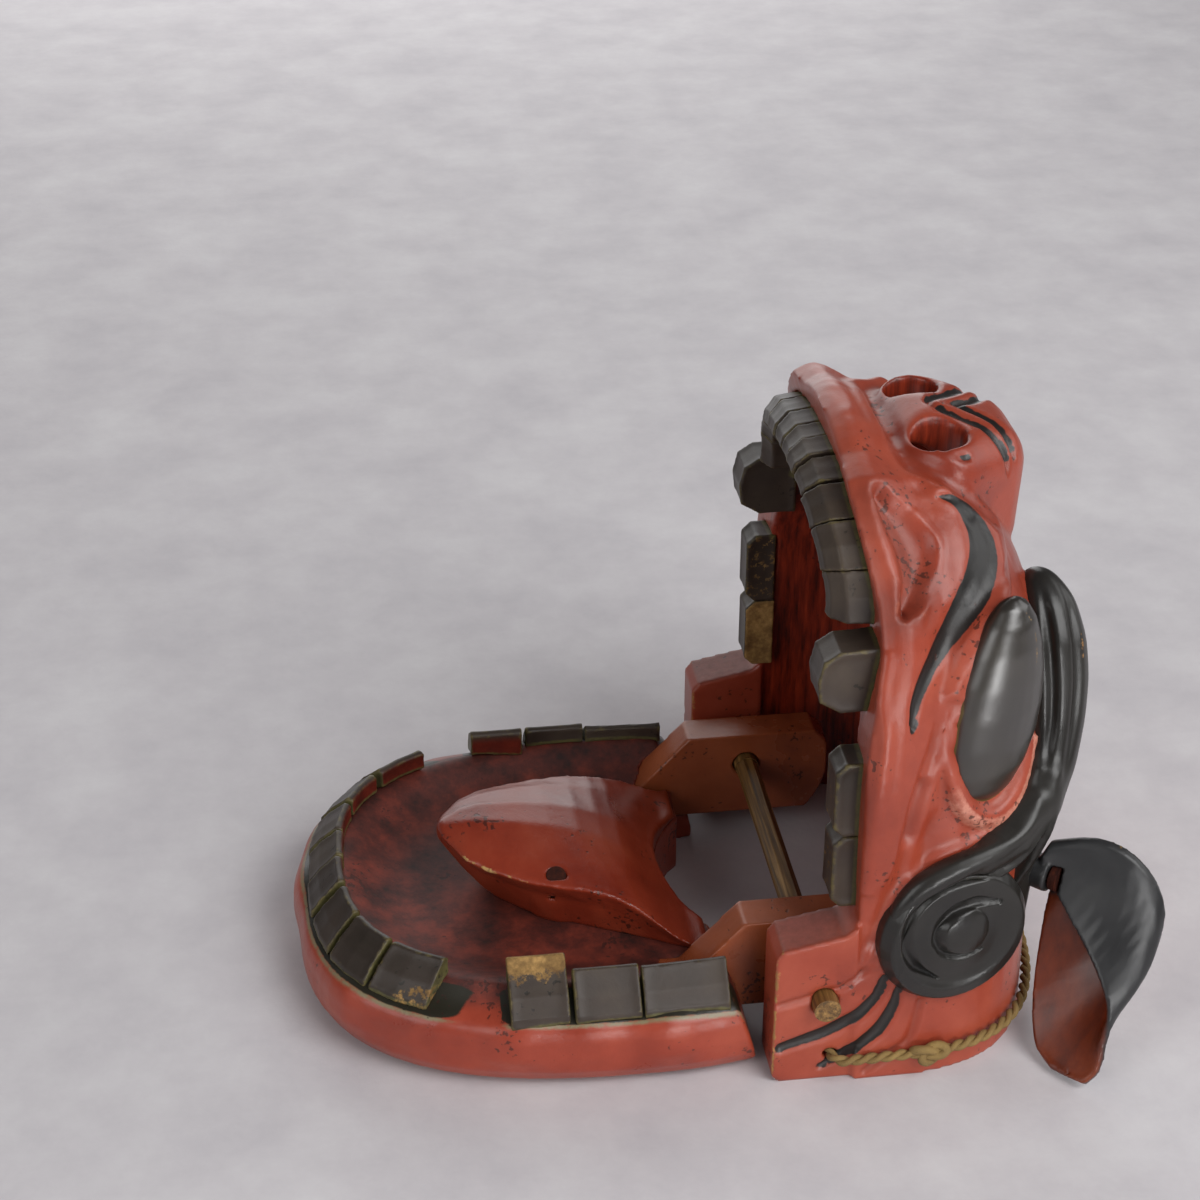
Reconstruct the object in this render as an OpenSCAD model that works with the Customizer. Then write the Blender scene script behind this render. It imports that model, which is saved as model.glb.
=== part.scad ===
// Lion-dance head of carved and lacquered wood, standing on its rear rim with
// the jaw swung open flat on the table. Millimetres, +Z up. The muzzle points
// up, the jaw points along -X, the crown is on the +X side and the head is
// alike on both sides of the XZ plane.

/* [Head] */
// Length of the head, from the rear rim to the top of the lip
head_len = 241; // [234:1:250]
// Width across the cheeks at the rear rim
head_w = 222; // [214:1:230]
// How much each side leans in for every millimetre of height
side_lean = 0.085; // [0.06:0.005:0.1]
// Distance from the jaw axle to the crown
crown_x = 97; // [91:1:103]
// Distance from the jaw axle to the edge of the mouth
mouth_x = 12; // [10:0.5:15]
// Height where the sides begin to arch over into the muzzle
arch_z = 120; // [110:1:130]
// Thickness of the hollowed wall
wall = 16; // [13:0.5:19]
// How far the rolled lip stands out from the cheek
lip_h = 5; // [2:0.5:7]
// How far the snarling upper lip is raised in front of the eye and nose
flange_h = 6; // [3:0.5:8]

/* [Nose and eyes] */
// Distance between the two nostrils
nostril_gap = 44; // [40:1:48]
// Radius of a nostril
nostril_r = 10.5; // [7:0.5:12]
// Depth of a nostril
nostril_depth = 20; // [12:1:26]
// Distance from the top of the lip down to the middle of the nostril wings
nose_drop = 19; // [16:1:22]
// Height of the middle of the eye
eye_z = 156; // [150:1:162]
// Half length of the eye
eye_len = 44; // [38:1:48]
// Half width of the eye
eye_w = 20.5; // [17:0.5:22]
// How far the eye bulges from its middle plane
eye_bulge = 13; // [10:0.5:16]

/* [Brows and curls] */
// Scale of the brow's thickness
brow_thick = 1; // [0.8:0.05:1.2]
// Height of the middle of the cheek curl
curl_z = 64; // [58:1:70]
// Radius of the cheek curl
curl_r = 31; // [26:1:34]
// How far the cheek curl stands out of the cheek
curl_h = 7; // [4:0.5:9]

/* [Hinge] */
// Diameter of the axle rod
axle_d = 10.5; // [8:0.5:13]
// Height of the axle above the rear rim
axle_z = 38; // [34:1:42]
// Play between the axle and the bores of the jaw arms
arm_play = 0.5; // [0.3:0.1:1.2]
// Play between the axle and the bores of the cheek blocks
cheek_play = 0.05; // [0.02:0.01:0.1]
// How far each end of the axle stands out of its cheek
axle_stub = 5; // [2:0.5:8]
// How far a cheek block reaches in front of the edge of the mouth
block_reach = 32; // [28:1:33]
// Height of a cheek block at its front edge
block_h = 64; // [54:1:65]
// How much the top of a cheek block rises towards the mouth edge
block_rise = 5; // [3:1:8]
// Thickness of a cheek block
block_t = 24; // [21:1:26]

/* [Jaw] */
// Length of the jaw, from the axle to the front of its lip
jaw_len = 202; // [192:1:208]
// Width of the jaw
jaw_w = 210; // [202:1:214]
// Height of the rim that carries the lower teeth
rim_h = 40; // [36:1:42]
// Height of the mouth floor inside the rim
floor_h = 27; // [23:1:29]
// Width of the rim that carries the lower teeth, from the outside of the lip
rim_edge = 21; // [19:1:22]
// Width of the dished edge, from the outside of the lip to the flat of the mouth floor
jaw_wall = 44; // [40:1:45]
// Distance from the axle to the foot of the jaw's rear face
jaw_rear = 22; // [20:1:25]
// How much the rear face leans away from the axle up to the rim
jaw_rear_lean = 12; // [9:1:15]
// Radius of the round notch between the jaw arms
notch_r = 55; // [50:1:56]
// Distance from the axle to the bottom of the notch
notch_deep = 50; // [46:1:54]
// Clearance between a jaw arm and the cheek block beside it
arm_side = 12; // [10:0.5:14]
// Thickness of a jaw arm
arm_t = 16; // [13:0.5:18]
// How far a jaw arm reaches behind the axle
arm_tail = 37; // [33:1:40]
// Height of the top of a jaw arm
arm_top = 53; // [50:1:56]
// Height of the bottom of a jaw arm
arm_bottom = 13; // [10:1:16]
// Radius of the small tie hole in the mouth floor
tie_r = 1.7; // [1:0.1:3]

/* [Tongue] */
// Distance from the axle to the tip of the tongue
tongue_len = 142; // [132:1:148]
// Height of the highest point of the tongue
tongue_h = 65; // [58:1:68]
// Radius of the peg that pins the tongue to the jaw
tongue_peg_r = 4; // [3:0.5:6]

/* [Teeth] */
// Number of upper front teeth between the fangs
upper_teeth = 11; // [9:2:13]
// Number of lower front teeth
lower_teeth = 8; // [6:1:10]
// How far the upper front teeth stand out of the lip
upper_tooth_h = 17; // [12:0.5:19]
// How far an upper fang stands out of the lip
fang_h = 22; // [19:1:26]
// Height of the lower teeth above the rim
lower_tooth_h = 9; // [6:0.5:11]
// Gap between neighbouring upper teeth
tooth_gap = 1; // [0.6:0.1:2]
// Gap between neighbouring lower front teeth
lower_gap = 2; // [1:0.1:3]

/* [Ears] */
// Thickness of an ear
ear_t = 3; // [2:0.5:4]
// Length of an ear, as a scale of the carved pattern
ear_scale = 1; // [0.9:0.02:1.02]
// Radius of the peg that carries an ear
ear_peg_r = 3; // [2.5:0.5:4]
// Play between an ear and its peg
ear_play = 0.4; // [0.3:0.1:0.8]

/* [Cord] */
// Diameter of the lacing cord round the rear rim
cord_d = 4.6; // [3:0.2:5]

/* [Hidden] */
$fn = 48;
eps = 0.01;

function clamp01(t) = min(1, max(0, t));
function ease(t) = let(c = clamp01(t)) c * c * (3 - 2 * c);
function bell(t) = exp(-t * t);
function unit(v) = v / norm(v);

// A closed solid from rings of equal point counts, capped flat at both ends
module loft(rings) {
    n = len(rings[0]);
    last = len(rings) - 1;
    points = [for (r = rings) for (p = r) p];
    walls = [for (j = [0:last - 1]) for (i = [0:n - 1])
        let(a = j * n + i, b = j * n + (i + 1) % n, c = a + n, d = b + n)
        each [[a, c, d], [a, d, b]]];
    foot = [for (i = [1:n - 2]) [0, i, i + 1]];
    end = last * n;
    top = [for (i = [1:n - 2]) [end, end + i + 1, end + i]];
    polyhedron(points, concat(walls, foot, top), convexity = 6);
}

// Head shell: horseshoe sections, open towards the mouth, that close over the muzzle
around = 44;
side_rings = 10;
arch_rings = 20;
arch_stop = 0.965;
side_round = 3.3;
side_arch = 2.4;
crown_arch = 2.6;

function rise(v) = pow(sin(90 * v), 2 / side_arch);
function ring_z(j, inset) = j <= side_rings
    ? arch_z * j / side_rings
    : arch_z + (head_len - inset - arch_z) * rise(arch_stop * (j - side_rings) / arch_rings);
function closing(z, inset) = clamp01((z - arch_z) / (head_len - inset - arch_z));
function half_w(z, inset) =
    (head_w / 2 - side_lean * z - inset) * sqrt(1 - pow(closing(z, inset), side_arch));
function depth(z, inset) =
    (crown_x - mouth_x - inset) * sqrt(1 - pow(closing(z, inset), crown_arch));
function superellipse(angle, p) = 1 / pow(pow(abs(cos(angle)), p) + pow(abs(sin(angle)), p), 1 / p);

// The edge of the mouth draws back a little beside the fangs
draw_back = 7;
draw_z = 188;
draw_len = 30;
function mouth_edge(z) = mouth_x + draw_back * bell((z - draw_z) / draw_len);
function skin(angle, z, inset = 0) = let(r = superellipse(angle, side_round), e = mouth_edge(z))
    [e + (mouth_x - e + depth(z, inset)) * cos(angle) * r, half_w(z, inset) * sin(angle) * r, z];
function skin_y(x, z) = let(a = clamp01((x - mouth_x) / depth(z, 0)))
    half_w(z, 0) * pow(1 - pow(a, side_round), 1 / side_round);

// The snarling lip ends this far in front of the crown at each height
flange_line = [[84, 67], [120, 54], [142, 49], [165, 39], [186, 27], [206, 19], [226, 17], [248, 31]];
function flange_x(z) = crown_x - lookup(z, flange_line);
flange_edge = 9;
flange_low = 84;
flange_fade = 50;
// The flange dies away in front of the nose
clear_z = 192;
clear_rise = 20;
clear_y = 32;
clear_side = 14;
// The rolled lip starts above the cheek blocks, with a furrow behind it
roll_low = 66;
roll_fade = 34;
roll_in = 8;
roll_half = 8;
furrow_in = 25;
furrow_half = 7;
furrow_deep = 3;
// The eye lies in a shallow socket
eye_x = crown_x - 32.5;
socket_half = 18;
socket_deep = 4;
function swell(p) = let(
        a = p[0] - mouth_edge(p[2]),
        up = ease((p[2] - roll_low) / roll_fade),
        roll = lip_h * bell((a - roll_in) / roll_half) * up,
        furrow = -furrow_deep * bell((a - furrow_in) / furrow_half) * up,
        clear = 1 - ease((p[2] - clear_z) / clear_rise) * (1 - ease((abs(p[1]) - clear_y) / clear_side)),
        raised = ease((flange_x(p[2]) - p[0]) / flange_edge) * ease((p[2] - flange_low) / flange_fade),
        socket = -socket_deep * bell((p[0] - eye_x) / socket_half) * bell((p[2] - eye_z) / eye_len))
    roll + furrow + flange_h * raised * clear + socket;
// Carving is raised along lines that spread from the middle of the hollow
heart_in = 20;
spread_z = 165;
spread_up = 0.9;
function outward(p) = unit([p[0] - mouth_x - heart_in, p[1], spread_up * max(0, p[2] - spread_z)]);
function ring_angle(i) = -90 + 180 * i / around;
function outer(i, j) = let(p = skin(ring_angle(i), ring_z(j, 0))) p + swell(p) * outward(p);
function inner(i, j) = skin(ring_angle(i), ring_z(j, wall), wall);

module head_raw() {
    n = around + 1;
    m = side_rings + arch_rings + 1;
    t = m - 1;
    k = n * m;
    points = concat(
        [for (j = [0:t]) for (i = [0:around]) outer(i, j)],
        [for (j = [0:t]) for (i = [0:around]) inner(i, j)]);
    skin_faces = [for (j = [0:t - 1]) for (i = [0:around - 1])
        let(a = j * n + i, b = a + 1, c = a + n, d = c + 1)
        each [[a, c, d], [a, d, b], [k + a, k + d, k + c], [k + a, k + b, k + d]]];
    rear_rim = [for (i = [0:around - 1]) each [[i, i + 1, k + i + 1], [i, k + i + 1, k + i]]];
    lips = [for (j = [0:t - 1])
        let(a = j * n, c = a + n, e = a + around, g = c + around)
        each [[c, a, k + a], [c, k + a, k + c], [e, g, k + g], [e, k + g, k + e]]];
    s = t * n;
    e = s + around;
    muzzle = [for (i = [1:around - 1])
        each [[s, s + i + 1, s + i], [k + s, k + s + i, k + s + i + 1]]];
    bridge = [[e, s, k + s], [e, k + s, k + e]];
    polyhedron(points, concat(skin_faces, rear_rim, lips, muzzle, bridge), convexity = 8);
}

// The carvings that are let into the shell reach this far below its skin
seat = 4;
module head_core() {
    loft([for (j = [0:side_rings + arch_rings])
        [for (i = [0:around]) skin(ring_angle(i), ring_z(j, seat), seat)]]);
}

// A carved solid made as one mesh, whose size stays as drawn
module carved() {
    resize([0, 0, 0]) children();
}

module on_side(side) {
    if (side < 0) {
        children();
    } else {
        mirror([0, 1, 0]) children();
    }
}

// A tapered strand along a path of [point, radius]
strand_sides = 14;
function path_dir(path, j) = let(last = len(path) - 1)
    unit(path[min(last, j + 1)][0] - path[max(0, j - 1)][0]);
module strand(path, up) {
    loft([for (j = [0:len(path) - 1])
        let(d = path_dir(path, j), s = unit(cross(up, d)), u = cross(d, s), r = path[j][1])
        [for (i = [0:strand_sides - 1]) let(a = 360 * i / strand_sides)
            path[j][0] + r * (cos(a) * s + sin(a) * u)]]);
}

// Nose: a block with two nostril wings, tapering back along the bridge
nose_x = crown_x - 43;
nose_z = head_len - nose_drop;
wing_r = 19;
wing_out = 1;
// The bridge behind the wings: back, half spacing, drop and radius of each step
bridge = [[19, 9, 3, 18], [18, 11, 28, 17]];
nostril_in = 1;
nostril_over = 5;
module nose_raw() {
    hull() {
        for (side = [-1, 1]) {
            translate([nose_x, side * (nostril_gap / 2 + wing_out), nose_z]) sphere(r = wing_r, $fn = 28);
            for (b = bridge) {
                translate([nose_x + b[0], side * b[1], nose_z - b[2]]) sphere(r = b[3], $fn = 24);
            }
        }
    }
}
module nose_seated() {
    carved() difference() {
        nose_raw();
        head_core();
    }
}

// Eyes: bulging ovals set into their sockets
eye_turn = 30;
eye_rings = 10;
eye_sides = 24;
eye_sink = 3;
eye_stop = 86;
// The eye is broader below than above, and its top leans towards the crown
eye_egg = 0.16;
eye_lean = 0.1;
module eye_raw() {
    at = [eye_x, -skin_y(eye_x, eye_z) + eye_sink, eye_z];
    translate(at) rotate([0, 0, eye_turn])
        loft([for (j = [0:eye_rings])
            let(f = eye_stop * (2 * j / eye_rings - 1))
            [for (i = [0:eye_sides - 1]) let(a = 360 * i / eye_sides)
                [eye_w * (1 - eye_egg * sin(f)) * cos(f) * cos(a) + eye_lean * eye_len * sin(f),
                    eye_bulge * cos(f) * sin(a), eye_len * sin(f)]]]);
}
module eye_seated(side) {
    on_side(side) carved() difference() {
        eye_raw();
        head_core();
    }
}

// Brows: a crest over the eye that tapers down to the cheek curl, as steps of
// [angle round the head, height over the eye, lift, radius]
brow_path = [[-26, 29, 0, 5], [-27, 26, 2, 9], [-29, 19, 4, 12], [-31, 8, 4, 14], [-32, -6, 4, 14],
    [-34, -22, 4, 13], [-38, -36, 4, 12], [-44, -47, 4, 10.5], [-52, -55, 3, 9], [-60, -60, 2, 7],
    [-65, -64, 1, 5]];
brow_up = [0, -0.6, 0.8];
function brow_point(b) = let(p = skin(b[0], b[1] + eye_z)) p + b[2] * outward(p);
module brow_raw() {
    strand([for (b = brow_path) [brow_point(b), b[3] * brow_thick]], brow_up);
}
module brow_seated(side) {
    on_side(side) carved() difference() {
        brow_raw();
        head_core();
        curl_raw();
        eye_raw();
    }
}

// Cheek curls: a low round boss with a spiral strand laid on it
curl_x = crown_x - 47;
curl_turn = 11;
curl_sink = 9;
// Steps across the curl: distance in from its rim, and height as a share of its own
curl_steps = [[0, 0], [3, 0.75], [8, 0.9], [13, 0.55], [18, 1]];
module curl_raw() {
    face = [for (c = curl_steps) [curl_r - c[0], curl_sink + curl_h * c[1]]];
    translate([curl_x, -skin_y(curl_x, curl_z), curl_z]) rotate([0, 0, curl_turn]) rotate([90, 0, 0])
        translate([0, 0, -curl_sink]) rotate_extrude($fn = 40)
            polygon(concat([[0, 0], [curl_r, 0]], face, [[0, curl_sink + curl_h]]));
}
module curl_seated(side) {
    on_side(side) carved() difference() {
        curl_raw();
        head_core();
    }
}

// Upper teeth: blocks along the arch of the lip, fangs and cheek teeth below them
tooth_sink = 3;
lip_foot = 182;
lip_round = 2.6;
function lip_arc(angle, inset) = let(
        h = head_len - inset - lip_foot,
        w = half_w(lip_foot, inset),
        r = superellipse(angle, lip_round))
    [w * sin(angle) * r, lip_foot + h * cos(angle) * r];
front_span = 84;
tooth_out = 8;
tooth_in = 24;
// The worn tip of a front tooth: place between its two faces, and distance up from the tip
front_tip = [[0, 4], [5, 0], [9, 1], [14, 6]];
// The front teeth grow broader towards the fangs
front_grow = 0.35;
function front_angle(k) = let(t = 2 * k / upper_teeth - 1)
    front_span * t * (1 - front_grow + front_grow * t * t);
function upper_section(angle) = let(
        e = mouth_edge(lip_arc(angle, tooth_in)[1]), tip = e - upper_tooth_h,
        outline = concat([[tooth_out, e + tooth_sink], [tooth_in, e + tooth_sink]],
            [for (t = front_tip) [tooth_in - t[0], tip + t[1]]]))
    [for (c = outline) let(p = lip_arc(angle, c[0])) [c[1], p[0], p[1]]];
module upper_front_raw() {
    for (k = [0:upper_teeth - 1]) {
        half_gap = atan(tooth_gap / (head_w - 2 * tooth_in));
        loft([upper_section(front_angle(k) + half_gap),
            upper_section((front_angle(k) + front_angle(k + 1)) / 2),
            upper_section(front_angle(k + 1) - half_gap)]);
    }
}
fang_len = 27;
// Room between the last front tooth and the fang below it
fang_gap = 1.2;
fang_z = min(lip_arc(front_span, tooth_in)[1], lip_arc(front_span, tooth_out)[1]) - fang_gap
    - fang_len / 2;
fang_t = 17;
fang_inset = 2;
// The blunt tip of a fang: distance up from the tip, and height from the fang's middle
fang_tip = [[9, -13.5], [1, -8.5], [0, 0], [2, 8.5], [8, 12.5]];
module fang_raw() {
    y = half_w(fang_z, fang_inset);
    root = mouth_edge(fang_z) + tooth_sink;
    tip = mouth_edge(fang_z) - fang_h;
    half = fang_len / 2;
    translate([0, -y + fang_t, 0]) rotate([90, 0, 0]) linear_extrude(fang_t)
        polygon(concat([[root, fang_z - half]],
            [for (t = fang_tip) [tip + t[0], fang_z + t[1]]],
            [[root, fang_z + half]]));
}
molar_low = block_h + block_rise + 6;
molar_high = 141;
molar_split = 108;
molar_h = 10;
molar_t = 15;
molar_inset = 1;
molar_round = 4;
// A cheek tooth between two heights, rounded towards the bite
module molar(low, high) {
    root = mouth_x + tooth_sink;
    tip = mouth_x - molar_h;
    polygon([[root, low], [tip + molar_round, low], [tip, low + molar_round], [tip, high - molar_round],
        [tip + molar_round, high], [root, high]]);
}
module molars_raw() {
    y = half_w(molar_high, molar_inset);
    translate([0, -y + molar_t, 0]) rotate([90, 0, 0]) linear_extrude(molar_t) {
        molar(molar_low, molar_split - tooth_gap / 2);
        molar(molar_split + tooth_gap / 2, molar_high);
    }
}

// Ear pegs: turned pins that carry the ears by their stems
ear_angle = -41;
ear_z = 74;
peg_in = 12;
peg_head_r = ear_peg_r + 2.5;
peg_head_h = 3;
ear_seat = skin(ear_angle, ear_z);
ear_turn = 46;
ear_out = [sin(ear_turn), -cos(ear_turn), 0];
ear_stem = 7;
boss_t = 8;
boss_wall = 4;
head_gap = 1;
peg_len = peg_in + ear_stem + boss_t / 2 + head_gap + peg_head_h / 2;
ear_root = ear_seat + ear_stem * ear_out;
module along_peg() {
    translate(ear_seat) rotate([0, 0, ear_turn]) rotate([90, 0, 0]) children();
}

// Ears: rolled leaves that hang from their stems, each row a near rim, a back and a far rim
ear_pattern = [
    [[-2, -2, 8], [3, 0, 13], [6, 3, 8]],
    [[2, -5, -1], [19, -6, 17], [7, 4, -4]],
    [[9, -16, -14], [32, -14, 13], [3, -1, -18]],
    [[14, -27, -24], [41, -20, -1], [1, -4, -28]],
    [[17, -36, -33], [39, -24, -17], [-1, -8, -40]],
    [[18, -40, -41], [30, -29, -32], [-2, -11, -51]],
    [[17, -43, -52], [13, -28, -54], [-3, -17, -61]],
    [[15, -46, -64], [8, -36, -66], [-3, -24, -68]],
    [[10, -46, -70], [6, -41, -71], [0, -34, -71]]];
ear_last = len(ear_pattern) - 1;
ear_fine = 3;
ear_across = 10;
function ear_row(s, k) = let(
        j = min(ear_last - 1, floor(s)), t = s - j,
        a = ear_pattern[max(0, j - 1)][k], b = ear_pattern[j][k],
        c = ear_pattern[j + 1][k], d = ear_pattern[min(ear_last, j + 2)][k])
    b + t * (c - a) / 2 + t * t * (a - 2.5 * b + 2 * c - d / 2) + t * t * t * ((d - a) / 2 + 1.5 * (b - c));
function ear_mid(s, t) = let(n = ear_row(s, 0), m = ear_row(s, 1), f = ear_row(s, 2))
    m + t * (f - n) / 2 + t * t * ((f + n) / 2 - m);
function ear_normal(s, t) = let(h = 0.05)
    unit(cross(ear_mid(s, t + h) - ear_mid(s, t - h),
        ear_mid(min(ear_last, s + h), t) - ear_mid(max(0, s - h), t)));
function ear_point(s, t, out) = ear_root + ear_scale * ear_mid(s, t) + out * ear_normal(s, t);
module ear_leaf() {
    loft([for (j = [0:ear_last * ear_fine]) let(s = j / ear_fine) concat(
        [for (i = [0:ear_across]) ear_point(s, -1 + 2 * i / ear_across, ear_t / 2)],
        [for (i = [0:ear_across]) ear_point(s, 1 - 2 * i / ear_across, -ear_t / 2)])]);
}
module ear_raw() {
    difference() {
        carved() {
            ear_leaf();
            along_peg() translate([0, 0, ear_stem - boss_t / 2])
                cylinder(r = ear_peg_r + boss_wall, h = boss_t);
        }
        along_peg() cylinder(r = ear_peg_r + ear_play, h = ear_stem + boss_t);
        along_peg() translate([0, 0, ear_stem + boss_t / 2])
            cylinder(r = peg_head_r + ear_play, h = peg_head_h + 2 * head_gap);
    }
}

// Cheek blocks: carry the axle in front of the mouth edge
block_in = head_w / 2 - block_t;
block_set = 3;
block_out = head_w / 2 - block_set;
block_x = mouth_x - block_reach;
// Worn corners of a block: at its foot, its front and where it meets the lip
block_foot = 3;
block_front = 4;
block_lip = 5;
cord_z = 12;
cord_x = 3;
cord_play = 0.6;
cord_hole_r = cord_d / 2 + cord_play;
module block_raw() {
    top = block_h + block_rise;
    difference() {
        translate([0, -block_in, 0]) rotate([90, 0, 0]) linear_extrude(block_out - block_in)
            polygon([[block_x + block_foot, 0], [mouth_x, 0], [mouth_x, top + block_front],
                [mouth_x - block_lip, top], [block_x + block_foot, block_h],
                [block_x, block_h - block_front], [block_x, block_foot]]);
        translate([0, 0, axle_z]) rotate([90, 0, 0])
            cylinder(r = axle_d / 2 + cheek_play, h = head_w, center = true);
        translate([cord_x, 0, cord_z]) rotate([90, 0, 0])
            cylinder(r = cord_hole_r, h = head_w, center = true);
    }
}

// Jaw: a dished board with a bulging lip, rings stacked from the foot to the mouth floor
jaw_mid = 60;
jaw_round = 2.7;
jaw_steps = 40;
jaw_side_steps = 4;
// The sides draw in a little towards the axle, and each ring stands clear of the last
side_in = 4;
rear_step = 0.2;
function jaw_rear_x(z) = -jaw_rear - jaw_rear_lean * z / rim_h;
function jaw_arc(angle, inset) = let(r = superellipse(angle, jaw_round))
    [-jaw_mid - (jaw_len - jaw_mid - inset) * cos(angle) * r, (jaw_w / 2 - inset) * sin(angle) * r];
function jaw_ring(inset, z) = let(
        rear = jaw_rear_x(z) - rear_step * inset,
        arc = [for (i = [0:jaw_steps]) let(p = jaw_arc(90 - 180 * i / jaw_steps, inset)) [p[0], p[1], z]],
        side = [for (i = [1:jaw_side_steps]) let(t = i / jaw_side_steps)
            [-jaw_mid + t * (jaw_mid + rear), -(jaw_w / 2 - inset - side_in * t * t), z]],
        far = [for (i = [0:jaw_side_steps - 1]) let(s = side[jaw_side_steps - 1 - i]) [s[0], -s[1], z]])
    concat(far, arc, side);
lip_drop = 9;
lip_edge = 4;
lip_z = rim_h - lip_drop;
rim_round = 1.6;
dish_in = (rim_edge + jaw_wall) / 2;
dish_z = floor_h + 0.4 * (rim_h - floor_h);
// The bulging lip from the table up: distance in from its widest line, and height
jaw_profile = [[30, 0], [11, 0.8], [4, 4], [1, 10], [0, 17], [0.5, lip_z - 6], [2, lip_z - 2],
    [lip_edge, lip_z], [rim_edge, rim_h], [rim_edge + rim_round, rim_h - rim_round / 2],
    [dish_in, dish_z], [jaw_wall, floor_h]];
function side_taper(x) = let(t = clamp01((x + jaw_mid) / (jaw_mid - jaw_rear))) side_in * t * t;
module jaw_board() {
    loft([for (p = jaw_profile) jaw_ring(p[0], p[1])]);
}
// The dished floor runs out through the back of the jaw
module floor_out() {
    y = jaw_w / 2 - side_taper(jaw_rear_x(rim_h) - rear_step * rim_edge);
    edge = [for (i = [len(jaw_profile) - 1:-1:len(jaw_profile) - 4]) jaw_profile[i]];
    half = concat([for (p = edge) [y - p[0], p[1]]], [[y - rim_edge, 2 * rim_h]]);
    last = len(half) - 1;
    translate([-arm_front, 0, 0]) rotate([90, 0, 90]) linear_extrude(arm_front)
        polygon(concat(half, [for (i = [0:last]) [-half[last - i][0], half[last - i][1]]]));
}
arm_in = block_in - arm_side - arm_t;
arm_gap = 2 * arm_in;
notch_side = 34;
module notch() {
    translate([notch_r - notch_deep, 0, -eps]) cylinder(r = notch_r, h = head_len, $fn = 96);
    translate([-notch_side, -arm_in, -eps]) cube([notch_side + crown_x, arm_gap, head_len]);
}

// Jaw arms: stout bars let into the jaw that swing on the axle
arm_front = 58;
arm_slope = [26, 50];
arm_nose = 6;
tail_room = 0.5;
module arm_raw() {
    difference() {
        intersection() {
            translate([0, -arm_in, 0]) rotate([90, 0, 0]) linear_extrude(arm_t)
                polygon([[-arm_front, arm_bottom], [arm_tail, arm_bottom], [arm_tail, arm_top - arm_nose],
                    [arm_tail - arm_nose, arm_top], [-arm_slope[0], arm_top], [-arm_slope[1], floor_h],
                    [-arm_front, floor_h]]);
            union() {
                translate([-jaw_len, -head_w / 2, 0]) cube([jaw_len, head_w, head_len]);
                translate([0, 0, axle_z]) rotate([90, 0, 0])
                    cylinder(r = axle_z - tail_room, h = head_w, center = true);
            }
        }
        translate([0, 0, axle_z]) rotate([90, 0, 0])
            cylinder(r = axle_d / 2 + arm_play, h = head_w, center = true);
    }
}

// Tongue: a broad ridged leaf with a prow-like tip that overhangs the mouth floor on a coved stem, as rows
// of [distance from the tip, drop of the ridge, half width, drop of the edge, half width of the foot,
// height of the underside over the floor]
tongue_rows = [[0, 6, 1, 8, 0.6, 27], [2, 4, 7.5, 7, 4, 25], [10, 1, 21.5, 9, 8, 15], [18, 0, 28.5, 10, 9, 5],
    [24, 0.5, 31.5, 10.5, 10, 0], [34, 1.5, 36, 12, 19.5, 0], [46, 3.5, 39.5, 13, 27, 0],
    [58, 7, 42, 14, 33.5, 0], [68, 11.5, 44, 16.5, 38.5, 0], [76, 16, 47, 20, 42.5, 0],
    [84, 23, 51.5, 25, 46.5, 0], [92, 29, 55, 31, 51, 0], [99, 33.5, 56.5, 35, 54, 0],
    [106, 35.3, 57.5, 36.2, 56, 0]];
// The rows are drawn for a leaf this high over the floor
leaf_h = 38;
leaf_tall = (tongue_h - floor_h) / leaf_h;
ridge_half = 0.2;
ridge_round = 0.06;
flank_half = 0.72;
flank_rise = 0.42;
cove_in = 0.42;
cove_rise = 0.6;
module tongue_raw() {
    loft([for (s = tongue_rows)
        let(x = -tongue_len + s[0], top = tongue_h - s[1] * leaf_tall, low = tongue_h - s[3] * leaf_tall,
            foot = floor_h + s[5] * leaf_tall,
            half = [[s[4], foot], [s[4] + (s[2] - s[4]) * cove_in, foot + (low - foot) * cove_rise],
                [s[2], low], [s[2] * flank_half, low + (top - low) * flank_rise],
                [s[2] * ridge_half, top - (top - low) * ridge_round]], last = len(half) - 1)
        concat([for (i = [0:last]) [x, half[i][0], half[i][1]]],
            [for (i = [0:last]) [x, -half[last - i][0], half[last - i][1]]])]);
}
// The peg leans in from the near edge of the leaf, down through the stem into the jaw
peg_x = -96;
peg_y = 34;
peg_lean = 30;
peg_deep = 12;
peg_drop = 10.8;
peg_top = tongue_h - peg_drop * leaf_tall;
peg_reach = (peg_top - floor_h + peg_deep) / cos(peg_lean);
module tongue_peg_raw() {
    translate([peg_x, -peg_y, peg_top]) rotate([peg_lean, 0, 0])
        translate([0, 0, -peg_reach]) cylinder(r = tongue_peg_r, h = peg_reach);
}
tie_x = -99;
tie_y = 54;

// Lower teeth: blocks fitted on to the jaw rim, with faces that slope out and down
lower_span = 52;
lower_sink = 1.5;
tooth_set = 1;
heel_set = 0.5;
heel_dip = 1.2;
function rim_at(inset) = rim_h - lip_drop * (rim_edge - inset) / (rim_edge - lip_edge) - lower_sink;
function lower_outline(tall, reach = 0) = let(
        toe = lip_edge + tooth_set, rim = rim_edge - heel_set, heel = rim + reach)
    [[toe, rim_at(toe)], [heel, rim_at(rim) - heel_dip * reach], [heel, rim_h + tall * 0.8],
        [heel - 2.5, rim_h + tall * 0.92],
        [toe + 5, rim_h - 1 + tall * 0.2], [toe + 0.6, lip_z + 4]];
function lower_angle(k) = lower_span * (1 - 2 * k / lower_teeth);
function lower_section(angle) = [for (c = lower_outline(lower_tooth_h))
    let(p = jaw_arc(angle, c[0])) [p[0], p[1], c[1]]];
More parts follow.
